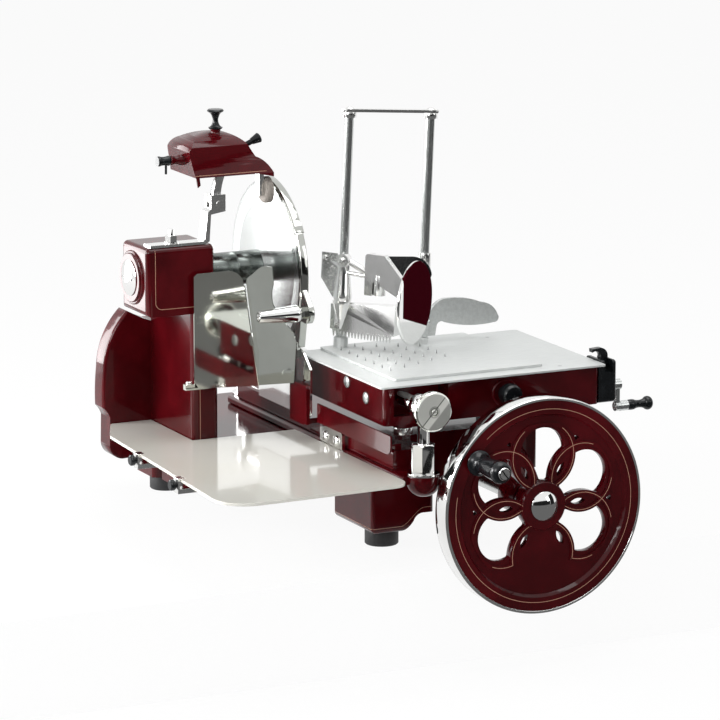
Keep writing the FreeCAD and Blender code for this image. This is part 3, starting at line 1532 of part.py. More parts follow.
def sharpener_strap():
    """The chrome strap bolted flat on the column, which rises to the sharpener's pivot."""
    y0, y1 = strap_front, strap_back
    z = head_top
    x = tilt_x
    side = [
        V(-237, y0, z), V(-138, y0, z), V(-131, y0, z + 4), V(-128, y0, 534), V(x + 13, y0, 538), V(x + 13, y0, 566),
        V(x - 13, y0, 566), V(x - 13, y0, 543), V(-134, y0, 538), V(-139, y0, z + 8), V(-142, y0, z + 4.5), V(-237, y0, z + 4.5),
    ]
    strap = prism(side, V(0, y1 - y0, 0))
    strap = strap.cut(block(x - 14, x + 14, y0 + 7, y1 - 7, 544, 570))
    return strap.fuse(bar(V(x, y0 - 3, tilt_z), Y_AXIS, 4, y1 - y0 + 6)).removeSplitter()


def strap_nut():
    z = head_top + 4.5
    x, y = -194.0, 0.5 * (strap_front + strap_back)
    washer = bar(V(x, y, z), Z_AXIS, 12.5, 2)
    nut = hexagon(V(x, y, z + 2), 19, 11)
    return washer.fuse([nut, bar(V(x, y, z), Z_AXIS, 5, 23)]).removeSplitter()


def frame_screws():
    return group(arm_plate_screws() + [deflector_screw(), strap_nut()])


def hood_body(i, low):
    """The hood's outer form, or its hollow when inset: the front view and the side view meet."""
    x0, x1 = hood_left, hood_right
    z0, z1 = hood_bottom, hood_top
    front_view = [
        V(x0 + 9 + i, -100, low), V(x0 + 9 + i, -100, z0), V(x0 + 5 + i, -100, z0 + 20), V(x0 + i, -100, z0 + 42),
        (V(x0 + 5 + i, -100, z0 + 52), V(x0 + 18, -100, z1 - 9 - i)), (V(x0 + 44, -100, z1 - 1 - i), V(x0 + 72, -100, z1 - i)),
        (V(x1 - 66 - i, -100, z1 - 3 - i), V(x1 - 48 - i, -100, z1 - 15 - i)), V(x1 - 30 - i, -100, z0 + 28 - i),
        (V(x1 - 10 - i, -100, z0 + 15 - i), V(x1 - i, -100, z0)), V(x1 - i, -100, low),
    ]
    y0, y1 = hood_front, hood_back
    side_view = [
        V(-250, y0 + i, low), V(-250, y0 + i, z0), (V(-250, y0 + 7 + i, z0 + 26), V(-250, y0 + 4 + i, z0 + 50)),
        (V(-250, y0 + 22, z1 - 7 - i), V(-250, y0 + 46, z1 - i)),
        (V(-250, y1 - 18 - i, z1 - 12 - i), V(-250, y1 - 6 - i, z0 + 36)), V(-250, y1 - i, z0), V(-250, y1 - i, low),
    ]
    return prism(front_view, V(0, 200, 0)).common(prism(side_view, V(300, 0, 0)))


def sharpener_hood():
    """The red hood: an open-bottomed cap with a lower ear on the right and a tab on the left."""
    z0 = hood_bottom
    shape = hood_body(0, z0 - 8)
    keep = [
        block(-300, hood_left + 130, -100, 100, z0, 700),
        prism([V(hood_left + 120, -100, z0), V(hood_right + 1, -100, z0 - 7), V(hood_right + 1, -100, 700), V(hood_left + 120, -100, 700)],
              V(0, 200, 0)),
    ]
    shape = shape.common(keep[0].fuse(keep[1]))
    shape = shape.cut(hood_body(hood_wall, z0 - 20))
    tab = prism([V(hood_left + 9, hood_front, z0 + 4), V(hood_left + 12.5, hood_front, z0 - 16), V(hood_left + 17, hood_front, z0 - 12),
                 V(hood_left + 15, hood_front, z0 + 4)], V(0, 3, 0))
    y = pivot_y
    cross = block(hood_left + 4, hood_right - 4, y - 6, y + 6, z0 + 6, z0 + 14)
    cross = cross.common(hood_body(1, z0 - 8))
    shape = shape.fuse([tab, cross, top_collar(), left_collar()]).removeSplitter()
    holes = [bar(V(top_knob_x, knob_y, z0), Z_AXIS, 4.5, 120)]
    holes.append(bar(V(hood_left - 40, knob_y, push_z), X_AXIS, 4.5, 70))
    start = V(-60, right_knob_y, right_knob_z - 31 * tan(radians(right_knob_lift)))
    holes.append(bar(start, right_knob_axis(), 4.5, 60))
    shape = shape.cut(holes)
    return shape


def right_knob_axis():
    a = radians(right_knob_lift)
    return V(cos(a), 0, sin(a))


push_z = 623.0


def sharpener_arm():
    """The curved chrome arm that carries the hood on its pivot, and the holder of the stone."""
    y0, y1 = pivot_y - 5.5, pivot_y + 5.5
    x, z = tilt_x, tilt_z
    top = hood_bottom + 6
    side = [
        V(x - 7, y0, z + 2), (V(x, y0, z - 7), V(x + 7, y0, z + 2)), (V(x + 9, y0, z + 22), V(x + 18, y0, top)),
        V(x + 5, y0, top), (V(x - 4, y0, z + 24), V(x - 7, y0, z + 2)),
    ]
    shape = prism(side, V(0, y1 - y0, 0)).cut(bar(V(x, y0 - 1, z), Y_AXIS, 4 + running_gap, 20))
    return group([shape, stone_holder()])


def top_knob():
    z = hood_top + 5.5
    stem = 4.5 - running_gap
    profile = [
        (0, -45), (stem, -45), (stem, 0), (11, 0), (12, 2), ((8, 4.5), (6, 8)), ((4.6, 14), (6, 20)),
        ((8.5, 25), (13, 28)), (14, 30), (12, 32), (0, 32.5),
    ]
    return turned(profile, V(top_knob_x, knob_y, z), Z_AXIS)


def top_collar():
    z = hood_top - 7
    profile = [(4.5, 0), (13, 0), (13, 3), ((8.5, 5.5), (8, 9)), (9, 12), (4.5, 12)]
    return turned(profile, V(top_knob_x, knob_y, z), Z_AXIS)


def left_collar():
    profile = [(4.5, 0), (9, 0), (9, 9), ((7, 14), (7.5, 20)), (8.5, 23), (7.5, 25), (4.5, 25)]
    return turned(profile, V(hood_left + 5, knob_y, push_z), V(-1, 0, 0))


def left_knob():
    x = hood_left + 5 - 25 - air_gap
    stem = 4.5 - running_gap
    profile = [
        (0, -46), (stem, -46), (stem, 0), (7.5, 0), (8.5, 3), ((7.2, 11), (8.5, 19)), (8, 22.5), (0, 22.5),
    ]
    knob = turned(profile, V(x, knob_y, push_z), V(-1, 0, 0))
    lever = bar(V(x - 7, knob_y, push_z - 22), Z_AXIS, 2, 18)
    return knob.fuse(lever).removeSplitter()


def right_knob():
    stem = 4.5 - running_gap
    profile = [(0, -30), (stem, -30), (stem, 0), (5.5, 0), (8.7, 14), (7.5, 15.5), (0, 15.5)]
    return turned(profile, V(-29, right_knob_y, right_knob_z), right_knob_axis())


def grinding_stone():
    stone = turned([(4 + running_gap, 0), (stone_radius - 3, 0), (stone_radius, 3), (stone_radius, 12), (4 + running_gap, 12)],
                   V(stone_x, pivot_y, stone_z), X_AXIS)
    return stone


def stone_holder():
    x = stone_x - air_gap
    y = pivot_y
    pin = bar(V(x - 8, y, stone_z), X_AXIS, 4, 22)
    plate = block(x - 8, x, y - 8, y + 8, stone_z - 8, hood_bottom + 6)
    return pin.fuse(plate).removeSplitter()


def save(name, shape):
    shape.exportStep(os.path.join("parts", name + ".step"))


def all_parts():
    return {
        "base_frame": base_frame(),
        "rubber_feet": rubber_feet(),
        "slide_arm": slide_arm(),
        "arm_plate": arm_plate(),
        "frame_screws": frame_screws(),
        "rail_skirt": rail_skirt(),
        "guide_rod": guide_rod(),
        "rod_posts": rod_posts(),
        "rod_end_disc": rod_end_disc(),
        "blade_column": blade_column(),
        "rear_cover": rear_cover(),
        "spindle_end_cap": spindle_end_cap(),
        "spindle_sleeve": spindle_sleeve(),
        "bearing_bushes": bearing_bushes(),
        "blade_guard": blade_guard(),
        "guard_knob": guard_knob(),
        "gauge_plate": gauge_plate(),
        "gauge_carrier": gauge_carrier(),
        "deflector_plate": deflector_plate(),
        "receiving_tray": receiving_tray(),
        "tray_clips": tray_clips(),
        "clip_knobs": clip_knobs(),
        "sharpener_strap": sharpener_strap(),
        "flywheel_disc": flywheel_disc(),
        "flywheel_rim": flywheel_rim(),
        "hub_cap": hub_cap(),
        "flywheel_shaft": flywheel_shaft(),
        "handle_pin": handle_pin(),
        "handle_grip": handle_grip(),
        "cross_shaft": cross_shaft(),
        "upright_shaft": upright_shaft(),
        "blade_spindle": blade_spindle(),
        "blade": blade(),
        "carriage_box": carriage_box(),
        "lower_table": lower_table(),
        "side_bolts": side_bolts(),
        "thickness_knob": thickness_knob(),
        "guide_roller": guide_roller(),
        "roller_bolt": roller_bolt(),
        "support_roller": support_roller(),
        "end_bracket": end_bracket(),
        "release_lever": release_lever(),
        "feed_screw": feed_screw(),
        "crank_grip": crank_grip(),
        "upper_table": upper_table(),
        "table_spikes": table_spikes(),
        "clamp_posts": clamp_posts(),
        "clamp_top_bar": clamp_top_bar(),
        "wing_handle": wing_handle(),
        "clamp_jaw": clamp_jaw(),
        "jaw_comb": jaw_comb(),
        "pressure_arm": pressure_arm(),
        "round_end_plate": round_end_plate(),
        "bowed_shell": bowed_shell(),
        "sharpener_hood": sharpener_hood(),
        "sharpener_arm": sharpener_arm(),
        "top_knob": top_knob(),
        "left_knob": left_knob(),
        "right_knob": right_knob(),
        "grinding_stone": grinding_stone(),
    }


if __name__ == "__main__":
    os.makedirs("parts", exist_ok=True)
    for name, shape in all_parts().items():
        save(name, shape)
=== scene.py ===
from math import cos, pi, radians, sin

import bmesh
import bpy
from bpy.props import FloatProperty, FloatVectorProperty, PointerProperty
from mathutils import Matrix, Vector


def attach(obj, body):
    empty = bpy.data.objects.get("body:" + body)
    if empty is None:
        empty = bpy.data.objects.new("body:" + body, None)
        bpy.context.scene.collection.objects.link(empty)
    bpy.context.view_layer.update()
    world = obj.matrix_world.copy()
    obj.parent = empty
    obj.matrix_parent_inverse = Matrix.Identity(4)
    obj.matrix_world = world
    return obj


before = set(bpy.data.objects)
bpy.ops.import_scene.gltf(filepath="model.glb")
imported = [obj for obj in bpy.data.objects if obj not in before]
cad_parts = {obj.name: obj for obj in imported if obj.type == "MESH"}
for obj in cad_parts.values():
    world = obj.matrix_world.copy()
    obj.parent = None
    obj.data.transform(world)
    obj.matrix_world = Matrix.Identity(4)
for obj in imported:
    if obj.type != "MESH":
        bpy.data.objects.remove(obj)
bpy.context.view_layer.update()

bl_info = {
    "name": "Flywheel slicer",
    "version": (1, 0, 0),
    "blender": (4, 5, 0),
    "location": "View3D > Sidebar > Slicer",
    "description": "Enamel, metals, knobs and small fittings of a hand-turned flywheel slicer",
    "category": "Object",
}


# Places on the machine, in metres. An axis that runs from front to back is given as its x and z.

# The blade, and where its bevel starts and ends, out from the middle
BLADE_MIDDLE = (0.0, 0.0, 0.430)
BLADE_BEVEL = (0.1285, 0.1305)

# The flywheel and the gold rings on its front. A gap is its middle and its half width, round the axis.
WHEEL_AXIS = (0.248, 0.104)
WHEEL_PAINTED_FACE = -0.5085
HUB_RADIUS = 0.0385
RIM_LINE_RADIUS = 0.159
RIM_LINE_GAP = (radians(150), radians(19))
WINDOW_TURNS = (30, 90, 150, 210, 270, 330)
WINDOW_FROM_AXIS = 0.0815
WINDOW_LINE_RADIUS = 0.055
FOOT_TURN = 270
FOOT_GAP = (radians(-90), radians(30))

# The turning handle's end, and the two screws on the spindle's end cap
HANDLE_AXIS = (0.127585, 0.188316)
HANDLE_END_RADIUS = 0.0088
CAP_SCREW_SPREAD = 0.019
CAP_SCREW_RADIUS = 0.0019

# Where the painted reflections part on the guide rod's end disc and the clamp's round plate, and the painted shade
# on the deflector
ROD_AXIS = (0.065, 0.270)
ROD_DISC_FACE = -0.4855
PLATE_LEFT_EDGE = 0.118
PLATE_SPLIT = (0.4240, 0.4252)
WING_FOLD = -0.0728

# The gold lines on the column, on the base's front leg and on the hood
HEAD_PANEL = ((-0.230, 0.2), (0.384, 0.8))
HEAD_FOOT = 0.372
SHANK_PANEL = ((-0.152, 0.2), (0.0, 0.9))
SHANK_TOP = 0.366
PANEL_CORNER = 0.012
LEG_LINE_HEIGHT = 0.038
LEG_LINE_RISE = 0.028
LEG_LINE_SLOPE = (0.098, 0.142)
LEG_FRONT = -0.29
LEG_SIDE_END = -0.15
HOOD_LINE_HEIGHT = 0.6005
HOOD_LINE_END = -0.03

# The screws in the lower table, by x and y
TABLE_SCREWS = ((0.345, -0.130), (0.345, -0.385), (0.150, -0.100))
TABLE_SCREW_FOOT = 0.2997

# The stage: a stand under the feet, and a lower floor in front of it, over which the wheel hangs
STAND_EDGE = -0.44
LOW_FLOOR = -0.16
STAGE_REACH = 15.0
STAGE_BACK = 30.0
FLOOR_GLOW = 0.93
SKY_LIGHT = 0.38
LAMPS = (
    # name, place, the point it is aimed at, size and watts
    ("key", (-2.6, -1.4, 1.5), (0.0, -0.1, 0.35), 1.2, 42.0),
    ("left", (-2.4, 0.9, 0.9), (-0.1, 0.0, 0.4), 1.0, 70.0),
    ("top", (0.4, -0.4, 3.2), (0.1, -0.1, 0.3), 2.2, 48.0),
    ("fill", (2.8, -3.4, 1.8), (0.1, -0.1, 0.3), 1.6, 14.0),
)

# The picture: its side in pixels, the pixel that the blade's middle falls on, and the sensor in millimetres
PICTURE_SIDE = 720
BLADE_PIXEL = (268, 265)
SENSOR = 36.0

BLACK = (0.0, 0.0, 0.0, 1.0)
WHITE = (1.0, 1.0, 1.0, 1.0)

# Numbers of the sockets on a Mix node that mixes colours
MIX_SHARE, MIX_FIRST, MIX_SECOND, MIX_COLOUR = 0, 6, 7, 2


# Shader maths


class Flow:
    """One output of a shader tree. Plain arithmetic on it adds Math nodes."""

    def __init__(self, paint, socket):
        self.paint = paint
        self.socket = socket

    def math(self, operation, *others):
        return self.paint.node("ShaderNodeMath", {"operation": operation}, dict(enumerate((self,) + others)))

    def __add__(self, other):
        return self.math("ADD", other)

    __radd__ = __add__

    def __sub__(self, other):
        return self.math("SUBTRACT", other)

    def __rsub__(self, other):
        return self.math("MULTIPLY_ADD", -1.0, other)

    def __mul__(self, other):
        return self.math("MULTIPLY", other)

    __rmul__ = __mul__

    def __abs__(self):
        return self.math("ABSOLUTE")

    def __lt__(self, other):
        return self.math("LESS_THAN", other)

    def __gt__(self, other):
        return self.math("GREATER_THAN", other)

    def most(self, other):
        return self.math("MAXIMUM", other)

    def root(self):
        return self.math("SQRT")

    def near(self, other, reach):
        """1 where this value lies within reach of the other, else 0."""
        return self.math("COMPARE", other, reach)

    def step(self, low, high):
        """0 at low and 1 at high, with a soft turn at both ends."""
        settings = {"interpolation_type": "SMOOTHSTEP"}
        return self.paint.node("ShaderNodeMapRange", settings, {"Value": self, "From Min": low, "From Max": high})

    def parts(self):
        """A vector's three numbers."""
        split = self.paint.node("ShaderNodeSeparateXYZ", inputs={0: self}).socket.node
        return tuple(Flow(self.paint, socket) for socket in split.outputs)


class Paint:
    """The node tree of a material or of the world, with one way to add a node."""

    def __init__(self, owner):
        self.owner = owner
        owner.use_nodes = True
        self.tree = owner.node_tree
        self.tree.nodes.clear()

    def node(self, kind, settings=None, inputs=None, out=0):
        made = self.tree.nodes.new(kind)
        for key, value in (settings or {}).items():
            setattr(made, key, value)
        for key, value in (inputs or {}).items():
            if isinstance(value, Flow):
                self.tree.links.new(value.socket, made.inputs[key])
            else:
                made.inputs[key].default_value = value
        return Flow(self, made.outputs[out]) if made.outputs else None

    def spot(self):
        """The surface point in the object's own frame."""
        return self.node("ShaderNodeTexCoord", out="Object")

    def facing(self):
        """The surface's outward direction in the object's own frame."""
        return self.node("ShaderNodeTexCoord", out="Normal")

    def stretched(self, vector, scale):
        return self.node("ShaderNodeMapping", inputs={"Vector": vector, "Scale": scale})

    def noise(self, vector, scale, detail, roughness):
        values = {"Vector": vector, "Scale": scale, "Detail": detail, "Roughness": roughness}
        return self.node("ShaderNodeTexNoise", inputs=values)

    def mix(self, share, first, second):
        inputs = {MIX_SHARE: share, MIX_FIRST: first, MIX_SECOND: second}
        return self.node("ShaderNodeMix", {"data_type": "RGBA"}, inputs, out=MIX_COLOUR)

    def bump(self, height, distance, strength):
        return self.node("ShaderNodeBump", inputs={"Height": height, "Distance": distance, "Strength": strength})

    def shader(self, **values):
        """The finished material: a Principled shader with these values on its sockets."""
        inputs = {key.replace("_", " "): value for key, value in values.items()}
        surface = self.node("ShaderNodeBsdfPrincipled", inputs=inputs)
        self.node("ShaderNodeOutputMaterial", inputs={"Surface": surface})
        return self.owner


def new_paint(name):
    return Paint(bpy.data.materials.new(name))


def opaque(colour, shade=1.0):
    """A colour, darkened by shade, as the four numbers of a colour socket."""
    return tuple(c * shade for c in colour) + (1.0,)


def distance(a, b):
    """How far a point lies from an axis, from its two offsets."""
    return (a * a + b * b).root()


def outline(a, b, spans, corner, half):
    """1 along the edge of the rounded rectangle that fills these two spans, else 0."""

    def past_corner(value, span):
        middle, reach = (span[0] + span[1]) / 2, (span[1] - span[0]) / 2
        return (abs(value - middle) - (reach - corner)).most(0.0)

    return distance(past_corner(a, spans[0]), past_corner(b, spans[1])).near(corner, half)


# Gold lines on the castings. Each gives 1 on a line, whose half width is half, and 0 off it.


def head_lines(spot, facing, half):
    """On the column: down the front of the head and round its corner, and down the shank."""
    x, _, z = spot.parts()
    _, ny, _ = facing.parts()
    head = outline(x, z, HEAD_PANEL, PANEL_CORNER, half) * (z > HEAD_FOOT)
    shank = outline(x, z, SHANK_PANEL, PANEL_CORNER, half) * (z < SHANK_TOP)
    return (ny < -0.8) * (head + shank)


def base_lines(spot, facing, half):
    """Round the foot of the base's front leg."""
    x, y, z = spot.parts()
    nx, ny, _ = facing.parts()
    height = x.step(*LEG_LINE_SLOPE) * LEG_LINE_RISE + LEG_LINE_HEIGHT
    front = (ny < -0.7) * z.near(height, half * 1.2) * (y < LEG_FRONT)
    side = (nx < -0.7) * z.near(LEG_LINE_HEIGHT, half) * (y < LEG_SIDE_END)
    return front + side


def wheel_lines(spot, facing, half):
    """A ring near the rim, and a ring round each window. Two neighbouring rings cross on a spoke."""
    x, y, z = spot.parts()
    _, ny, _ = facing.parts()
    u, w = x - WHEEL_AXIS[0], z - WHEEL_AXIS[1]
    reach = distance(u, w)
    angle = w.math("ARCTAN2", u)
    gap, gap_half = RIM_LINE_GAP
    lines = reach.near(RIM_LINE_RADIUS, half) * (abs(angle - gap) > gap_half)
    foot, foot_half = FOOT_GAP
    bare = abs(angle - foot) < foot_half
    for turn in WINDOW_TURNS:
        a = radians(turn)
        ring = distance(u - WINDOW_FROM_AXIS * cos(a), w - WINDOW_FROM_AXIS * sin(a)).near(WINDOW_LINE_RADIUS, half)
        if turn == FOOT_TURN:
            shown = reach < 0.109
        else:
            beside = u * -sin(a) + w * cos(a)
            shown = (abs(beside) > 0.034).most(reach < 0.1)
            if abs(turn - FOOT_TURN) == 60:
                shown = shown * (1.0 - bare)
        lines = lines.most(ring * shown)
    return lines * (reach > HUB_RADIUS) * (y < WHEEL_PAINTED_FACE) * (ny < -0.5)


def hood_lines(spot, facing, half):
    """Along the lower edge of the hood's front."""
    x, _, z = spot.parts()
    _, ny, _ = facing.parts()
    return (ny < -0.5) * z.near(HOOD_LINE_HEIGHT, half) * (x < HOOD_LINE_END)


# Dark marks on plated pieces, and finishes for one piece each, three of them with painted reflection or painted
# shade


def cap_slot(spot):
    """The screwdriver slot across the end of the turning handle's pin, and the groove round it."""
    x, _, z = spot.parts()
    across, up = x - HANDLE_AXIS[0], z - HANDLE_AXIS[1]
    slot = abs(across * 0.8 + up * 0.6) < 0.0011
    reach = distance(across, up)
    return slot * (reach < 0.0085) + reach.near(HANDLE_END_RADIUS, 0.0005)


def cap_screws(spot):
    """Two small screws on the spindle's end cap."""
    _, y, z = spot.parts()
    return distance(abs(y) - CAP_SCREW_SPREAD, z - BLADE_MIDDLE[2]) < CAP_SCREW_RADIUS


def rod_disc(name):
    """The guide rod's end disc, polished, with a painted reflection: a dark slanting band, a bright half beyond it
    that darkens again towards its far edge, and a ring in the middle.
    """
    paint = new_paint(name)
    spot = paint.spot()
    x, y, z = spot.parts()
    cloud = paint.noise(spot, scale=40.0, detail=3.0, roughness=0.5)
    across, up = x - ROD_AXIS[0], z - ROD_AXIS[1]
    slant = across * 0.74 - up * 0.67
    # Painted reflection: the dark band, the bright half and its dark far edge stand in for the surroundings
    # mirrored in the disc.
    painted_dark_band = slant.near(-0.001, 0.001)
    painted_highlight_half = slant > 0.0
    painted_dark_edge = slant.step(0.009, 0.012)
    ring = distance(across, up).near(0.0085, 0.0012)
    reflected_tone = 0.60 - painted_dark_band * 0.42 + painted_highlight_half * 0.22 - painted_dark_edge * 0.46 - ring * 0.3 + cloud * 0.08
    face = y < ROD_DISC_FACE
    reflected_tone = face * reflected_tone + (1.0 - face) * 0.85
    return paint.shader(
        Base_Color=paint.mix(reflected_tone.most(0.05), BLACK, (0.95, 0.96, 0.90, 1.0)),
        Metallic=1.0 - face * 0.6,
        Roughness=cloud * 0.06 + 0.06,
        Normal=paint.bump(cloud, distance=0.0002, strength=0.2),
    )


def plate_with_painted_reflection(name, colour):
    """The clamp's round plate: a polished disc with a painted reflection of the red column in deep red on its upper
    part, above a bright polished foot.
    """
    paint = new_paint(name)
    spot = paint.spot()
    x, _, z = spot.parts()
    _, ny, _ = paint.facing().parts()
    cloud = paint.noise(spot, scale=30.0, detail=3.0, roughness=0.5)
    # Painted reflection: the deep red on the upper part of the face stands in for the red column mirrored in the
    # plate.
    red = (z + x * 0.4 + cloud * 0.001).step(*PLATE_SPLIT) * (x > PLATE_LEFT_EDGE) * (ny < -0.3)
    return paint.shader(
        Base_Color=paint.mix(red, opaque(colour), (0.042, 0.0025, 0.006, 1.0)),
        Metallic=1.0 - red,
        Roughness=cloud * 0.05 + 0.05,
        Specular_IOR_Level=0.0,
        Normal=paint.bump(cloud, distance=0.0002, strength=0.2),
    )


def deflector_mirror(name):
    """The deflector's polished wings: the one that stands slanted to the front is toned darker as painted shade,
    standing in for the dim surroundings it mirrors.
    """
    paint = new_paint(name)
    spot = paint.spot()
    _, y, _ = spot.parts()
    cloud = paint.noise(spot, scale=10.0, detail=3.0, roughness=0.5)
    haze = cloud.step(0.3, 0.8)
    flat = paint.mix(haze, (0.74, 0.75, 0.68, 1.0), (0.82, 0.83, 0.76, 1.0))
    # Painted shade: the slanted wing's chrome is darkened to stand in for the dim reflections it shows.
    slanted_wing_painted_shade = paint.mix(haze, (0.24, 0.25, 0.23, 1.0), (0.29, 0.30, 0.28, 1.0))
    return paint.shader(
        Base_Color=paint.mix(y < WING_FOLD, flat, slanted_wing_painted_shade),
        Metallic=1.0,
        Roughness=cloud * 0.04 + 0.03,
        Normal=paint.bump(cloud, distance=0.0002, strength=0.2),
    )


# Finishes


def enamel(name, settings, lines=None):
    """Deep gloss enamel over a casting, with a little orange peel, and painted gold lines where given."""
    paint = new_paint(name)
    spot = paint.spot()
    gold = lines(spot, paint.facing(), settings.line_width / 2) if lines else 0.0
    cloud = paint.noise(spot, scale=9.0, detail=4.0, roughness=0.6)
    fleck = paint.noise(spot, scale=420.0, detail=2.0, roughness=0.5)
    peel = paint.noise(spot, scale=190.0, detail=2.0, roughness=0.4)
    wave = paint.noise(spot, scale=28.0, detail=2.0, roughness=0.5)
    red = paint.mix(cloud.step(0.35, 0.7), opaque(settings.deep), opaque(settings.bright))
    red = paint.mix(fleck.step(0.55, 0.8) * 0.03, red, (0.22, 0.02, 0.025, 1.0))
    return paint.shader(
        Base_Color=paint.mix(gold, red, opaque(settings.gold)) if lines else red,
        Roughness=gold * 0.22 + cloud * 0.08 + 0.12,
        Coat_Weight=0.3,
        Coat_Roughness=0.02,
        Specular_IOR_Level=0.12,
        Normal=paint.bump(peel * 0.02 + wave + gold * 0.4, distance=0.0001, strength=0.07),
    )


def mirror_metal(name, colour, roughness, haze=0.05, marks=None, swell=0.0004):
    """Polished plating: faint polishing haze and a few fine scratches, with dark marks where given."""
    paint = new_paint(name)
    spot = paint.spot()
    cloud = paint.noise(spot, scale=14.0, detail=3.0, roughness=0.5)
    polishing = paint.stretched(spot, (60.0, 900.0, 60.0))
    scratch = paint.noise(polishing, scale=1.0, detail=2.0, roughness=0.4).step(0.60, 0.72)
    tint = paint.mix(cloud.step(0.3, 0.8), opaque(colour, 0.93), opaque(colour))
    if marks:
        tint = paint.mix(marks(spot), tint, (0.02, 0.02, 0.02, 1.0))
    return paint.shader(
        Base_Color=tint,
        Metallic=1.0,
        Roughness=cloud * haze + scratch * 0.05 + roughness,
        Normal=paint.bump(cloud, distance=swell, strength=0.25),
    )


def brushed_metal(name, colour, roughness, grain, depth=0.00003, metal=1.0):
    """Satin steel whose fine grain runs along the axis on which grain is smallest."""
    paint = new_paint(name)
    spot = paint.spot()
    cloud = paint.noise(spot, scale=7.0, detail=3.0, roughness=0.55)
    brushing = paint.noise(paint.stretched(spot, grain), scale=1.0, detail=4.0, roughness=0.6)
    return paint.shader(
        Base_Color=paint.mix(brushing.step(0.3, 0.7), opaque(colour, 0.86), opaque(colour)),
        Metallic=metal,
        Roughness=brushing * 0.14 + cloud * 0.08 + roughness,
        Normal=paint.bump(brushing, distance=depth, strength=0.6),
    )


def ground_blade(name, colour, roughness):
    """The blade: rings left by grinding round its axis, brighter on the bevel."""
    paint = new_paint(name)
    _, y, z = paint.spot().parts()
    reach = distance(y, z - BLADE_MIDDLE[2])
    outward = paint.node("ShaderNodeCombineXYZ", inputs={0: reach * 1400.0})
    rings = paint.noise(outward, scale=1.0, detail=3.0, roughness=0.6)
    bevel = reach.step(*BLADE_BEVEL)
    return paint.shader(
        Base_Color=paint.mix(bevel, opaque(colour, 0.9), opaque(colour)),
        Metallic=1.0,
        Roughness=rings * 0.16 + bevel * 0.08 + roughness,
        Normal=paint.bump(rings, distance=0.00002, strength=0.5),
    )


def gloss_black(name, colour, roughness):
    """Turned and polished black knobs: a soft sheen, fine turning marks and dust in the gloss."""
    paint = new_paint(name)
    spot = paint.spot()
    dust = paint.noise(spot, scale=60.0, detail=3.0, roughness=0.6)
    turning = paint.noise(spot, scale=700.0, detail=2.0, roughness=0.5)
    return paint.shader(
        Base_Color=paint.mix(dust.step(0.3, 0.8), opaque(colour), (0.011, 0.013, 0.015, 1.0)),
        Roughness=dust * 0.12 + turning * 0.05 + roughness,
        Coat_Weight=0.1,
        Coat_Roughness=0.05,
        Specular_IOR_Level=0.28,
        Normal=paint.bump(turning, distance=0.00004, strength=0.3),
    )


def moulded_rubber(name, colour):
    """Black rubber feet: a fine moulded grain and rubbed grey patches."""
    paint = new_paint(name)
    spot = paint.spot()
    cloud = paint.noise(spot, scale=45.0, detail=4.0, roughness=0.6)
    grain = paint.noise(spot, scale=900.0, detail=2.0, roughness=0.5)
    return paint.shader(
        Base_Color=paint.mix(cloud.step(0.4, 0.9), opaque(colour), (0.045, 0.045, 0.048, 1.0)),
        Roughness=cloud * 0.15 + 0.5,
        Normal=paint.bump(grain + cloud, distance=0.00015, strength=0.5),
    )


def white_enamel(name, colour):
    """The receiving tray: thick white gloss enamel, faintly uneven and warmer in its clouds."""
    paint = new_paint(name)
    spot = paint.spot()
    cloud = paint.noise(spot, scale=6.0, detail=3.0, roughness=0.5)
    wave = paint.noise(spot, scale=16.0, detail=1.0, roughness=0.4)
    warmer = tuple(c * share for c, share in zip(colour, (0.97, 0.96, 0.93)))
    return paint.shader(
        Base_Color=paint.mix(cloud.step(0.3, 0.75), opaque(colour), opaque(warmer)),
        Roughness=cloud * 0.05 + 0.08,
        Coat_Weight=0.4,
        Coat_Roughness=0.02,
        Normal=paint.bump(wave, distance=0.0003, strength=0.12),
    )


def gritstone(name, colour):
    """The grinding wheel: bonded grit with dark specks."""
    paint = new_paint(name)
    spot = paint.spot()
    grit = paint.noise(spot, scale=1500.0, detail=3.0, roughness=0.7)
    speck = paint.noise(spot, scale=520.0, detail=2.0, roughness=0.5)
    return paint.shader(
        Base_Color=paint.mix(speck.step(0.5, 0.7), opaque(colour), opaque(colour, 0.45)),
        Roughness=grit * 0.1 + 0.82,
        Normal=paint.bump(grit, distance=0.0002, strength=0.8),
    )


# Putting a finish on parts of the machine, and adding small pieces


def dress(material, bevel, *nodes):
    """Gives CAD pieces their material, and edges worn round over the width of the bevel."""
    for node in nodes:
        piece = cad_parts[node]
        piece.data.materials.clear()
        piece.data.materials.append(material)
        weld = piece.modifiers.new("weld", "WELD")
        weld.merge_threshold = 0.00001
        if bevel:
            edges = piece.modifiers.new("edges", "BEVEL")
            edges.width = bevel
            edges.segments = 2
            edges.limit_method = "ANGLE"
            edges.angle_limit = radians(35)
            edges.harden_normals = True
            edges.use_clamp_overlap = True


def screw_mesh(name, radius, height):
    """A low domed screw head that stands on z = 0."""
    profile = ((1.0, 0.0), (1.0, 0.5), (0.86, 0.85), (0.5, 1.0))
    sides = 32
    turns = [2 * pi * k / sides for k in range(sides)]
    mesh = bmesh.new()
    rings = [
        [mesh.verts.new((r * radius * cos(turn), r * radius * sin(turn), h * height)) for turn in turns]
        for r, h in profile
    ]
    for low, high in zip(rings, rings[1:]):
        for k in range(sides):
            after = (k + 1) % sides
            mesh.faces.new((low[k], low[after], high[after], high[k]))
    mesh.faces.new(rings[-1])
    mesh.faces.new(rings[0][::-1])
    made = bpy.data.meshes.new(name)
    mesh.to_mesh(made)
    mesh.free()
    for face in made.polygons:
        face.use_smooth = True
    return made


def add_piece(name, mesh, material, place, body):
    """Puts a new piece into the scene, riding on a CAD body."""
    piece = bpy.data.objects.new(name, mesh)
    bpy.context.scene.collection.objects.link(piece)
    mesh.materials.append(material)
    piece.matrix_world = Matrix.Translation(place)
    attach(piece, body)


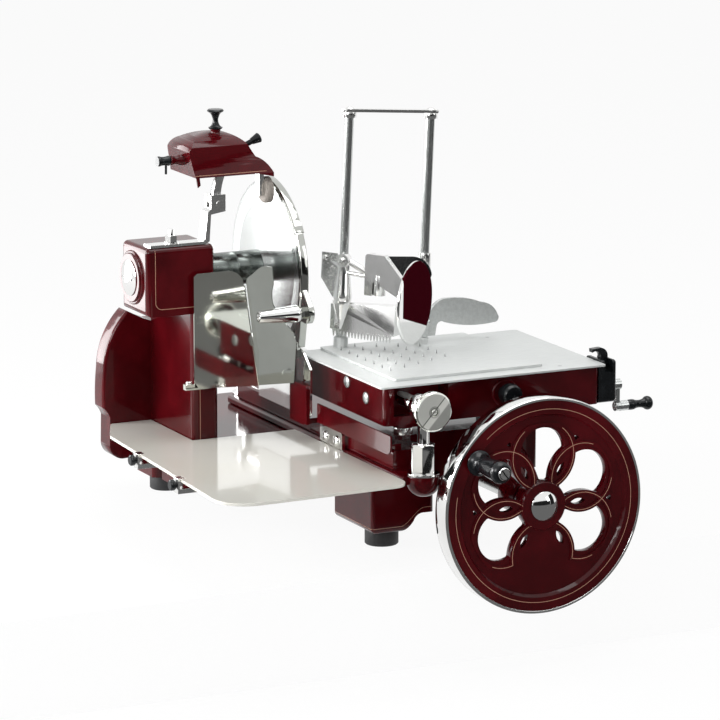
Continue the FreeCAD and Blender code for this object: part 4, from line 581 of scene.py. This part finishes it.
# Floor, cards, sky, lamps and camera


def mesh_sheet(name, corners, material):
    mesh = bpy.data.meshes.new(name)
    mesh.from_pydata(corners, [], [tuple(range(len(corners)))])
    mesh.materials.append(material)
    sheet = bpy.data.objects.new(name, mesh)
    bpy.context.scene.collection.objects.link(sheet)
    return sheet


def flat_sheet(name, low, high, z, material):
    """A level sheet at height z, between two corners."""
    corners = [(low[0], low[1], z), (high[0], low[1], z), (high[0], high[1], z), (low[0], high[1], z)]
    return mesh_sheet(name, corners, material)


def upright_sheet(name, x_span, y, z_span, material):
    """An upright sheet across the machine, at y."""
    (left, right), (foot, top) = x_span, z_span
    return mesh_sheet(name, [(left, y, foot), (right, y, foot), (right, y, top), (left, y, top)], material)


def card(name, place, aim, width, height, material):
    """A sheet at this place that faces the aim."""
    turn = (Vector(aim) - Vector(place)).to_track_quat("Z", "Y")
    w, h = width / 2, height / 2
    corners = [Vector(place) + turn @ Vector(c) for c in ((-w, -h, 0), (w, -h, 0), (w, h, 0), (-w, h, 0))]
    return mesh_sheet(name, [tuple(c) for c in corners], material)


def straight_rays(paint):
    """1 for rays from the camera, off a polished surface or through glass, else 0."""
    camera, glossy, glass = (
        paint.node("ShaderNodeLightPath", out=f"Is {kind} Ray") for kind in ("Camera", "Glossy", "Transmission")
    )
    return camera.most(glossy).most(glass)


def pale_floor(name, colour):
    """A pale floor that the camera and mirrors see as white, but for the shadows on it."""
    paint = new_paint(name)
    plain = paint.node("ShaderNodeBsdfDiffuse", inputs={"Color": opaque(colour)})
    glow = paint.node("ShaderNodeEmission", inputs={"Color": WHITE, "Strength": 1.0})
    surface = paint.node("ShaderNodeMixShader", inputs={0: straight_rays(paint) * FLOOR_GLOW, 1: plain, 2: glow})
    paint.node("ShaderNodeOutputMaterial", inputs={"Surface": surface})
    return paint.owner


def lay_floor(colour):
    """The stand's top and front, and the lower floor in front of it."""
    pale = pale_floor("pale floor", colour)
    ends = (-STAGE_REACH, STAGE_REACH)
    top = flat_sheet("stand_top", (ends[0], STAND_EDGE), (ends[1], STAGE_BACK), 0.0, pale)
    front = upright_sheet("stand_front", ends, STAND_EDGE, (LOW_FLOOR, 0.0), pale)
    low = flat_sheet("low_floor", (ends[0], -STAGE_REACH), (ends[1], STAND_EDGE), LOW_FLOOR, pale)
    low.visible_glossy = False
    return [top, front, low]


def studio_grey(name, level):
    """A card's plain glow: below 1 it mirrors as a dim wall, above 1 as a lit screen."""
    paint = new_paint(name)
    glow = paint.node("ShaderNodeEmission", inputs={"Color": (level, level, level, 1.0), "Strength": 1.0})
    paint.node("ShaderNodeOutputMaterial", inputs={"Surface": glow})
    return paint.owner


def stand_cards():
    """Sheets that only polished surfaces see: a dim front and sides, and a bright screen behind."""
    mid = studio_grey("studio front", 0.15)
    dark = studio_grey("studio dark", 0.015)
    bright = studio_grey("studio screen", 9.0)
    cards = [
        flat_sheet("dim_front_floor", (-9.0, -9.0), (9.0, -0.45), -0.17, mid),
        upright_sheet("dim_front_wall", (-9.0, 9.0), -9.0, (-0.2, 3.2), dark),
        card("dark_left_side", (-2.7, -1.35, 0.35), (0.0, -0.1, 0.35), 1.1, 1.6, dark),
        card("dark_right_side", (3.2, -2.2, 0.8), (0.2, -0.2, 0.4), 1.6, 3.0, dark),
        upright_sheet("bright_screen", (-1.6, -0.66), 1.2, (0.1, 1.4), bright),
    ]
    for sheet in cards:
        sheet.visible_camera = False
        sheet.visible_diffuse = False
        sheet.visible_shadow = False
    return cards


def light_sky():
    """A white world for the camera and for mirrors, which lights the machine more softly."""
    world = bpy.data.worlds.new("studio")
    bpy.context.scene.world = world
    paint = Paint(world)
    level = straight_rays(paint) * (1.0 - SKY_LIGHT) + SKY_LIGHT
    sky = paint.node("ShaderNodeBackground", inputs={"Color": WHITE, "Strength": level})
    paint.node("ShaderNodeOutputWorld", inputs={"Surface": sky})


def hang_lamp(name, place, aim, size, power):
    light = bpy.data.lights.new(name, "AREA")
    light.shape = "SQUARE"
    light.size = size
    light.energy = power
    lamp = bpy.data.objects.new(name, light)
    bpy.context.scene.collection.objects.link(lamp)
    lamp.location = place
    lamp.rotation_mode = "QUATERNION"
    lamp.rotation_quaternion = (Vector(aim) - Vector(place)).to_track_quat("-Z", "Y")


def make_camera(scene, settings):
    """A long lens, set so that the blade's middle falls on its own pixel of the picture."""
    a, e = settings.azimuth, settings.elevation
    back = Vector((sin(a) * cos(e), -cos(a) * cos(e), sin(e)))
    right = Vector((cos(a), sin(a), 0.0))
    up = back.cross(right)
    focal = settings.lens / SENSOR * PICTURE_SIDE
    middle = PICTURE_SIDE / 2
    across, down = BLADE_PIXEL[0] - middle, BLADE_PIXEL[1] - middle
    sight = (-back + right * (across / focal) - up * (down / focal)).normalized()
    lens = bpy.data.cameras.new("camera")
    lens.lens = settings.lens
    lens.sensor_width = SENSOR
    lens.clip_start = 0.1
    lens.clip_end = 60.0
    camera = bpy.data.objects.new("camera", lens)
    scene.collection.objects.link(camera)
    camera.location = Vector(BLADE_MIDDLE) - sight * settings.distance
    camera.rotation_mode = "QUATERNION"
    camera.rotation_quaternion = (-back).to_track_quat("-Z", "Y")
    scene.camera = camera


# Settings


class EnamelSettings(bpy.types.PropertyGroup):
    deep: FloatVectorProperty(
        name="Deep red", description="Colour in the darker clouds of the enamel",
        subtype="COLOR", default=(0.042, 0.0010, 0.0022), min=0, max=1,
    )
    bright: FloatVectorProperty(
        name="Red", description="Colour in the lighter clouds of the enamel",
        subtype="COLOR", default=(0.078, 0.0022, 0.0045), min=0, max=1,
    )
    gold: FloatVectorProperty(
        name="Gold", description="Colour of the painted lines",
        subtype="COLOR", default=(0.46, 0.25, 0.17), min=0, max=1,
    )
    line_width: FloatProperty(
        name="Line width", description="Width of the painted lines",
        subtype="DISTANCE", unit="LENGTH", default=0.0009, min=0.0002,
    )


class MetalSettings(bpy.types.PropertyGroup):
    chrome: FloatVectorProperty(
        name="Chrome", description="Tint of the plated pieces",
        subtype="COLOR", default=(0.86, 0.86, 0.85), min=0, max=1,
    )
    steel: FloatVectorProperty(
        name="Steel", description="Tint of the ground steel pieces",
        subtype="COLOR", default=(0.70, 0.72, 0.71), min=0, max=1,
    )
    bronze: FloatVectorProperty(
        name="Bronze", description="Tint of the bearing bushes",
        subtype="COLOR", default=(0.60, 0.38, 0.16), min=0, max=1,
    )
    edge: FloatProperty(
        name="Edge radius", description="How far sharp metal edges are rounded",
        subtype="DISTANCE", unit="LENGTH", default=0.0006, min=0.0,
    )


class DarkSettings(bpy.types.PropertyGroup):
    knob: FloatVectorProperty(
        name="Knobs", description="Colour of the black knobs and grips",
        subtype="COLOR", default=(0.004, 0.005, 0.006), min=0, max=1,
    )
    rubber: FloatVectorProperty(
        name="Rubber", description="Colour of the feet",
        subtype="COLOR", default=(0.012, 0.012, 0.013), min=0, max=1,
    )
    stone: FloatVectorProperty(
        name="Stone", description="Colour of the grinding wheel",
        subtype="COLOR", default=(0.30, 0.27, 0.24), min=0, max=1,
    )


class TraySettings(bpy.types.PropertyGroup):
    white: FloatVectorProperty(
        name="White", description="Colour of the receiving tray",
        subtype="COLOR", default=(0.68, 0.67, 0.62), min=0, max=1,
    )


class StageSettings(bpy.types.PropertyGroup):
    azimuth: FloatProperty(
        name="Azimuth", description="Direction the camera stands in, round the machine",
        subtype="ANGLE", default=radians(-26.0),
    )
    elevation: FloatProperty(
        name="Elevation", description="Height of the camera above the horizon",
        subtype="ANGLE", default=radians(12.0),
    )
    distance: FloatProperty(
        name="Distance", description="From the camera to the middle of the blade",
        subtype="DISTANCE", unit="LENGTH", default=7.5, min=0.5,
    )
    lens: FloatProperty(
        name="Lens", description="Focal length in millimetres",
        unit="CAMERA", default=225.0, min=10.0,
    )
    floor: FloatVectorProperty(
        name="Floor", description="Colour of the floor",
        subtype="COLOR", default=(0.90, 0.90, 0.90), min=0, max=1,
    )


class SlicerSettings(bpy.types.PropertyGroup):
    enamel: PointerProperty(type=EnamelSettings, name="Enamel", description="The red castings")
    metal: PointerProperty(type=MetalSettings, name="Metals", description="Chrome, steel and bronze")
    dark: PointerProperty(type=DarkSettings, name="Knobs and feet", description="Black knobs, rubber and stone")
    tray: PointerProperty(type=TraySettings, name="Tray", description="The white receiving tray")
    stage: PointerProperty(type=StageSettings, name="Stage", description="Floor, lamps and camera")


# Operators


class SLICER_OT_castings(bpy.types.Operator):
    """Enamels the base, column, carriage, hood and wheel in deep red with gold lines"""

    bl_idname = "slicer.castings"
    bl_label = "Enamel the castings"

    def execute(self, context):
        s = context.scene.slicer.enamel
        plain = enamel("red enamel", s)
        dress(plain, 0.0012, "slide_arm", "rail_skirt", "carriage_box", "rear_cover", "gauge_carrier")
        dress(enamel("red enamel of the base", s, base_lines), 0.0015, "base_frame")
        dress(enamel("red enamel of the column", s, head_lines), 0.002, "blade_column")
        dress(enamel("red enamel of the wheel", s, wheel_lines), 0.001, "flywheel_disc")
        dress(enamel("red enamel of the hood", s, hood_lines), 0.0012, "sharpener_hood")
        return {"FINISHED"}


class SLICER_OT_chrome(bpy.types.Operator):
    """Plates the guard, rod, posts, plates, clamp jaw and sharpener fittings with chrome"""

    bl_idname = "slicer.chrome"
    bl_label = "Plate the chrome pieces"

    def execute(self, context):
        s = context.scene.slicer.metal
        chrome, edge = tuple(s.chrome), s.edge
        dress(
            mirror_metal("chrome plate", chrome, roughness=0.03), edge,
            "flywheel_rim", "hub_cap", "guide_rod", "rod_posts", "guard_knob", "gauge_plate", "arm_plate",
            "frame_screws",
        )
        dress(
            mirror_metal("worn chrome plate", chrome, roughness=0.14, haze=0.10, swell=0.0008), edge,
            "sharpener_strap", "sharpener_arm", "clamp_top_bar", "clamp_jaw", "jaw_comb", "pressure_arm",
            "guide_roller", "roller_bolt", "tray_clips",
        )
        guard = mirror_metal("polished guard", (0.52, 0.53, 0.50), roughness=0.06, swell=0.0015)
        dress(guard, edge, "blade_guard")
        dress(mirror_metal("slotted chrome pin", chrome, roughness=0.06, marks=cap_slot), edge, "handle_pin")
        dress(mirror_metal("chrome cap", chrome, roughness=0.04, marks=cap_screws), edge, "spindle_end_cap")
        # Painted shade: the sleeve's tint is darkened to stand in for the dark surroundings it mirrors.
        dress(mirror_metal("polished steel with painted shade", (0.19, 0.21, 0.20), roughness=0.20), edge, "spindle_sleeve")
        dress(rod_disc("polished disc"), edge, "rod_end_disc")
        dress(plate_with_painted_reflection("mirror disc", chrome), edge, "round_end_plate")
        dress(deflector_mirror("mirror plate"), edge * 0.3, "deflector_plate")
        return {"FINISHED"}


class SLICER_OT_steel(bpy.types.Operator):
    """Gives the tables, blade, posts, shafts and spikes their ground steel"""

    bl_idname = "slicer.steel"
    bl_label = "Grind the steel pieces"

    def execute(self, context):
        s = context.scene.slicer.metal
        steel, edge = tuple(s.steel), s.edge
        rod_steel = tuple(c * 0.9 for c in steel)
        cast_steel = tuple(c * 0.95 for c in steel)
        table = brushed_metal("ground steel plate", steel, 0.40, (30.0, 900.0, 30.0), depth=0.000002, metal=0.4)
        rod = brushed_metal("drawn steel rod", rod_steel, 0.14, (900.0, 900.0, 20.0), depth=0.00001)
        cast = brushed_metal("satin cast metal", cast_steel, 0.28, (150.0, 150.0, 150.0), depth=0.00005, metal=0.6)
        dark = brushed_metal("dark steel", (0.34, 0.35, 0.35), 0.28, (200.0, 200.0, 200.0))
        dress(table, edge * 0.6, "lower_table", "upper_table")
        dress(
            rod, 0.0,
            "clamp_posts", "flywheel_shaft", "cross_shaft", "upright_shaft", "blade_spindle", "feed_screw",
        )
        dress(cast, edge, "wing_handle", "support_roller")
        dress(dark, 0.0, "table_spikes", "side_bolts")
        dress(ground_blade("ground blade", steel, roughness=0.14), 0.0, "blade")
        dress(mirror_metal("bronze", tuple(s.bronze), roughness=0.2), 0.0, "bearing_bushes")
        return {"FINISHED"}


class SLICER_OT_knobs(bpy.types.Operator):
    """Finishes the black knobs and grips, the rubber feet and the grinding stone"""

    bl_idname = "slicer.knobs"
    bl_label = "Finish knobs, feet and stone"

    def execute(self, context):
        s = context.scene.slicer.dark
        black = gloss_black("black gloss", tuple(s.knob), roughness=0.12)
        dress(
            black, 0.0003,
            "handle_grip", "crank_grip", "thickness_knob", "top_knob", "left_knob", "right_knob", "clip_knobs",
        )
        dress(black, 0.001, "end_bracket")
        dress(black, 0.0006, "release_lever")
        dress(black, 0.0004, "bowed_shell")
        dress(moulded_rubber("moulded rubber", tuple(s.rubber)), 0.001, "rubber_feet")
        dress(gritstone("grinding stone", tuple(s.stone)), 0.0004, "grinding_stone")
        return {"FINISHED"}


class SLICER_OT_tray(bpy.types.Operator):
    """Enamels the receiving tray white"""

    bl_idname = "slicer.tray"
    bl_label = "Enamel the tray"

    def execute(self, context):
        white = tuple(context.scene.slicer.tray.white)
        dress(white_enamel("white enamel", white), 0.0012, "receiving_tray")
        return {"FINISHED"}


class SLICER_OT_screws(bpy.types.Operator):
    """Adds the three small screw heads on the lower table"""

    bl_idname = "slicer.screws"
    bl_label = "Add the small screws"

    def execute(self, context):
        steel = brushed_metal("screw steel", (0.45, 0.46, 0.46), 0.25, (80.0, 80.0, 80.0))
        for k, (x, y) in enumerate(TABLE_SCREWS):
            name = f"table_screw_{k}"
            mesh = screw_mesh(name, radius=0.0042, height=0.0004)
            add_piece(name, mesh, steel, (x, y, TABLE_SCREW_FOOT), "carriage")
        return {"FINISHED"}


class SLICER_OT_stage(bpy.types.Operator):
    """Sets up the pale stand and floor, the lamps, the grey studio walls and the camera"""

    bl_idname = "slicer.stage"
    bl_label = "Set the stage"

    def execute(self, context):
        s = context.scene.slicer.stage
        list(lay_floor(tuple(s.floor)))
        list(stand_cards())
        light_sky()
        for lamp in LAMPS:
            hang_lamp(*lamp)
        make_camera(context.scene, s)
        context.scene.view_settings.view_transform = "Standard"
        return {"FINISHED"}


class SLICER_PT_panel(bpy.types.Panel):
    """The slicer's settings and steps"""

    bl_idname = "SLICER_PT_panel"
    bl_label = "Flywheel slicer"
    bl_space_type = "VIEW_3D"
    bl_region_type = "UI"
    bl_category = "Slicer"

    def draw(self, context):
        settings = context.scene.slicer
        for group, step in (
            ("enamel", SLICER_OT_castings), ("metal", SLICER_OT_chrome), ("metal", SLICER_OT_steel),
            ("dark", SLICER_OT_knobs), ("tray", SLICER_OT_tray), (None, SLICER_OT_screws),
            ("stage", SLICER_OT_stage),
        ):
            box = self.layout.box()
            if group:
                part = getattr(settings, group)
                for name in part.bl_rna.properties.keys():
                    if name not in ("rna_type", "name"):
                        box.prop(part, name)
            box.operator(step.bl_idname)


CLASSES = (
    EnamelSettings, MetalSettings, DarkSettings, TraySettings, StageSettings, SlicerSettings,
    SLICER_OT_castings, SLICER_OT_chrome, SLICER_OT_steel, SLICER_OT_knobs, SLICER_OT_tray, SLICER_OT_screws,
    SLICER_OT_stage, SLICER_PT_panel,
)


def register():
    for made in CLASSES:
        bpy.utils.register_class(made)
    bpy.types.Scene.slicer = PointerProperty(type=SlicerSettings)


def unregister():
    del bpy.types.Scene.slicer
    for made in reversed(CLASSES):
        bpy.utils.unregister_class(made)


def main():
    register()
    for step in (
        bpy.ops.slicer.castings, bpy.ops.slicer.chrome, bpy.ops.slicer.steel, bpy.ops.slicer.knobs,
        bpy.ops.slicer.tray, bpy.ops.slicer.screws, bpy.ops.slicer.stage,
    ):
        step()


if __name__ == "__main__":
    main()
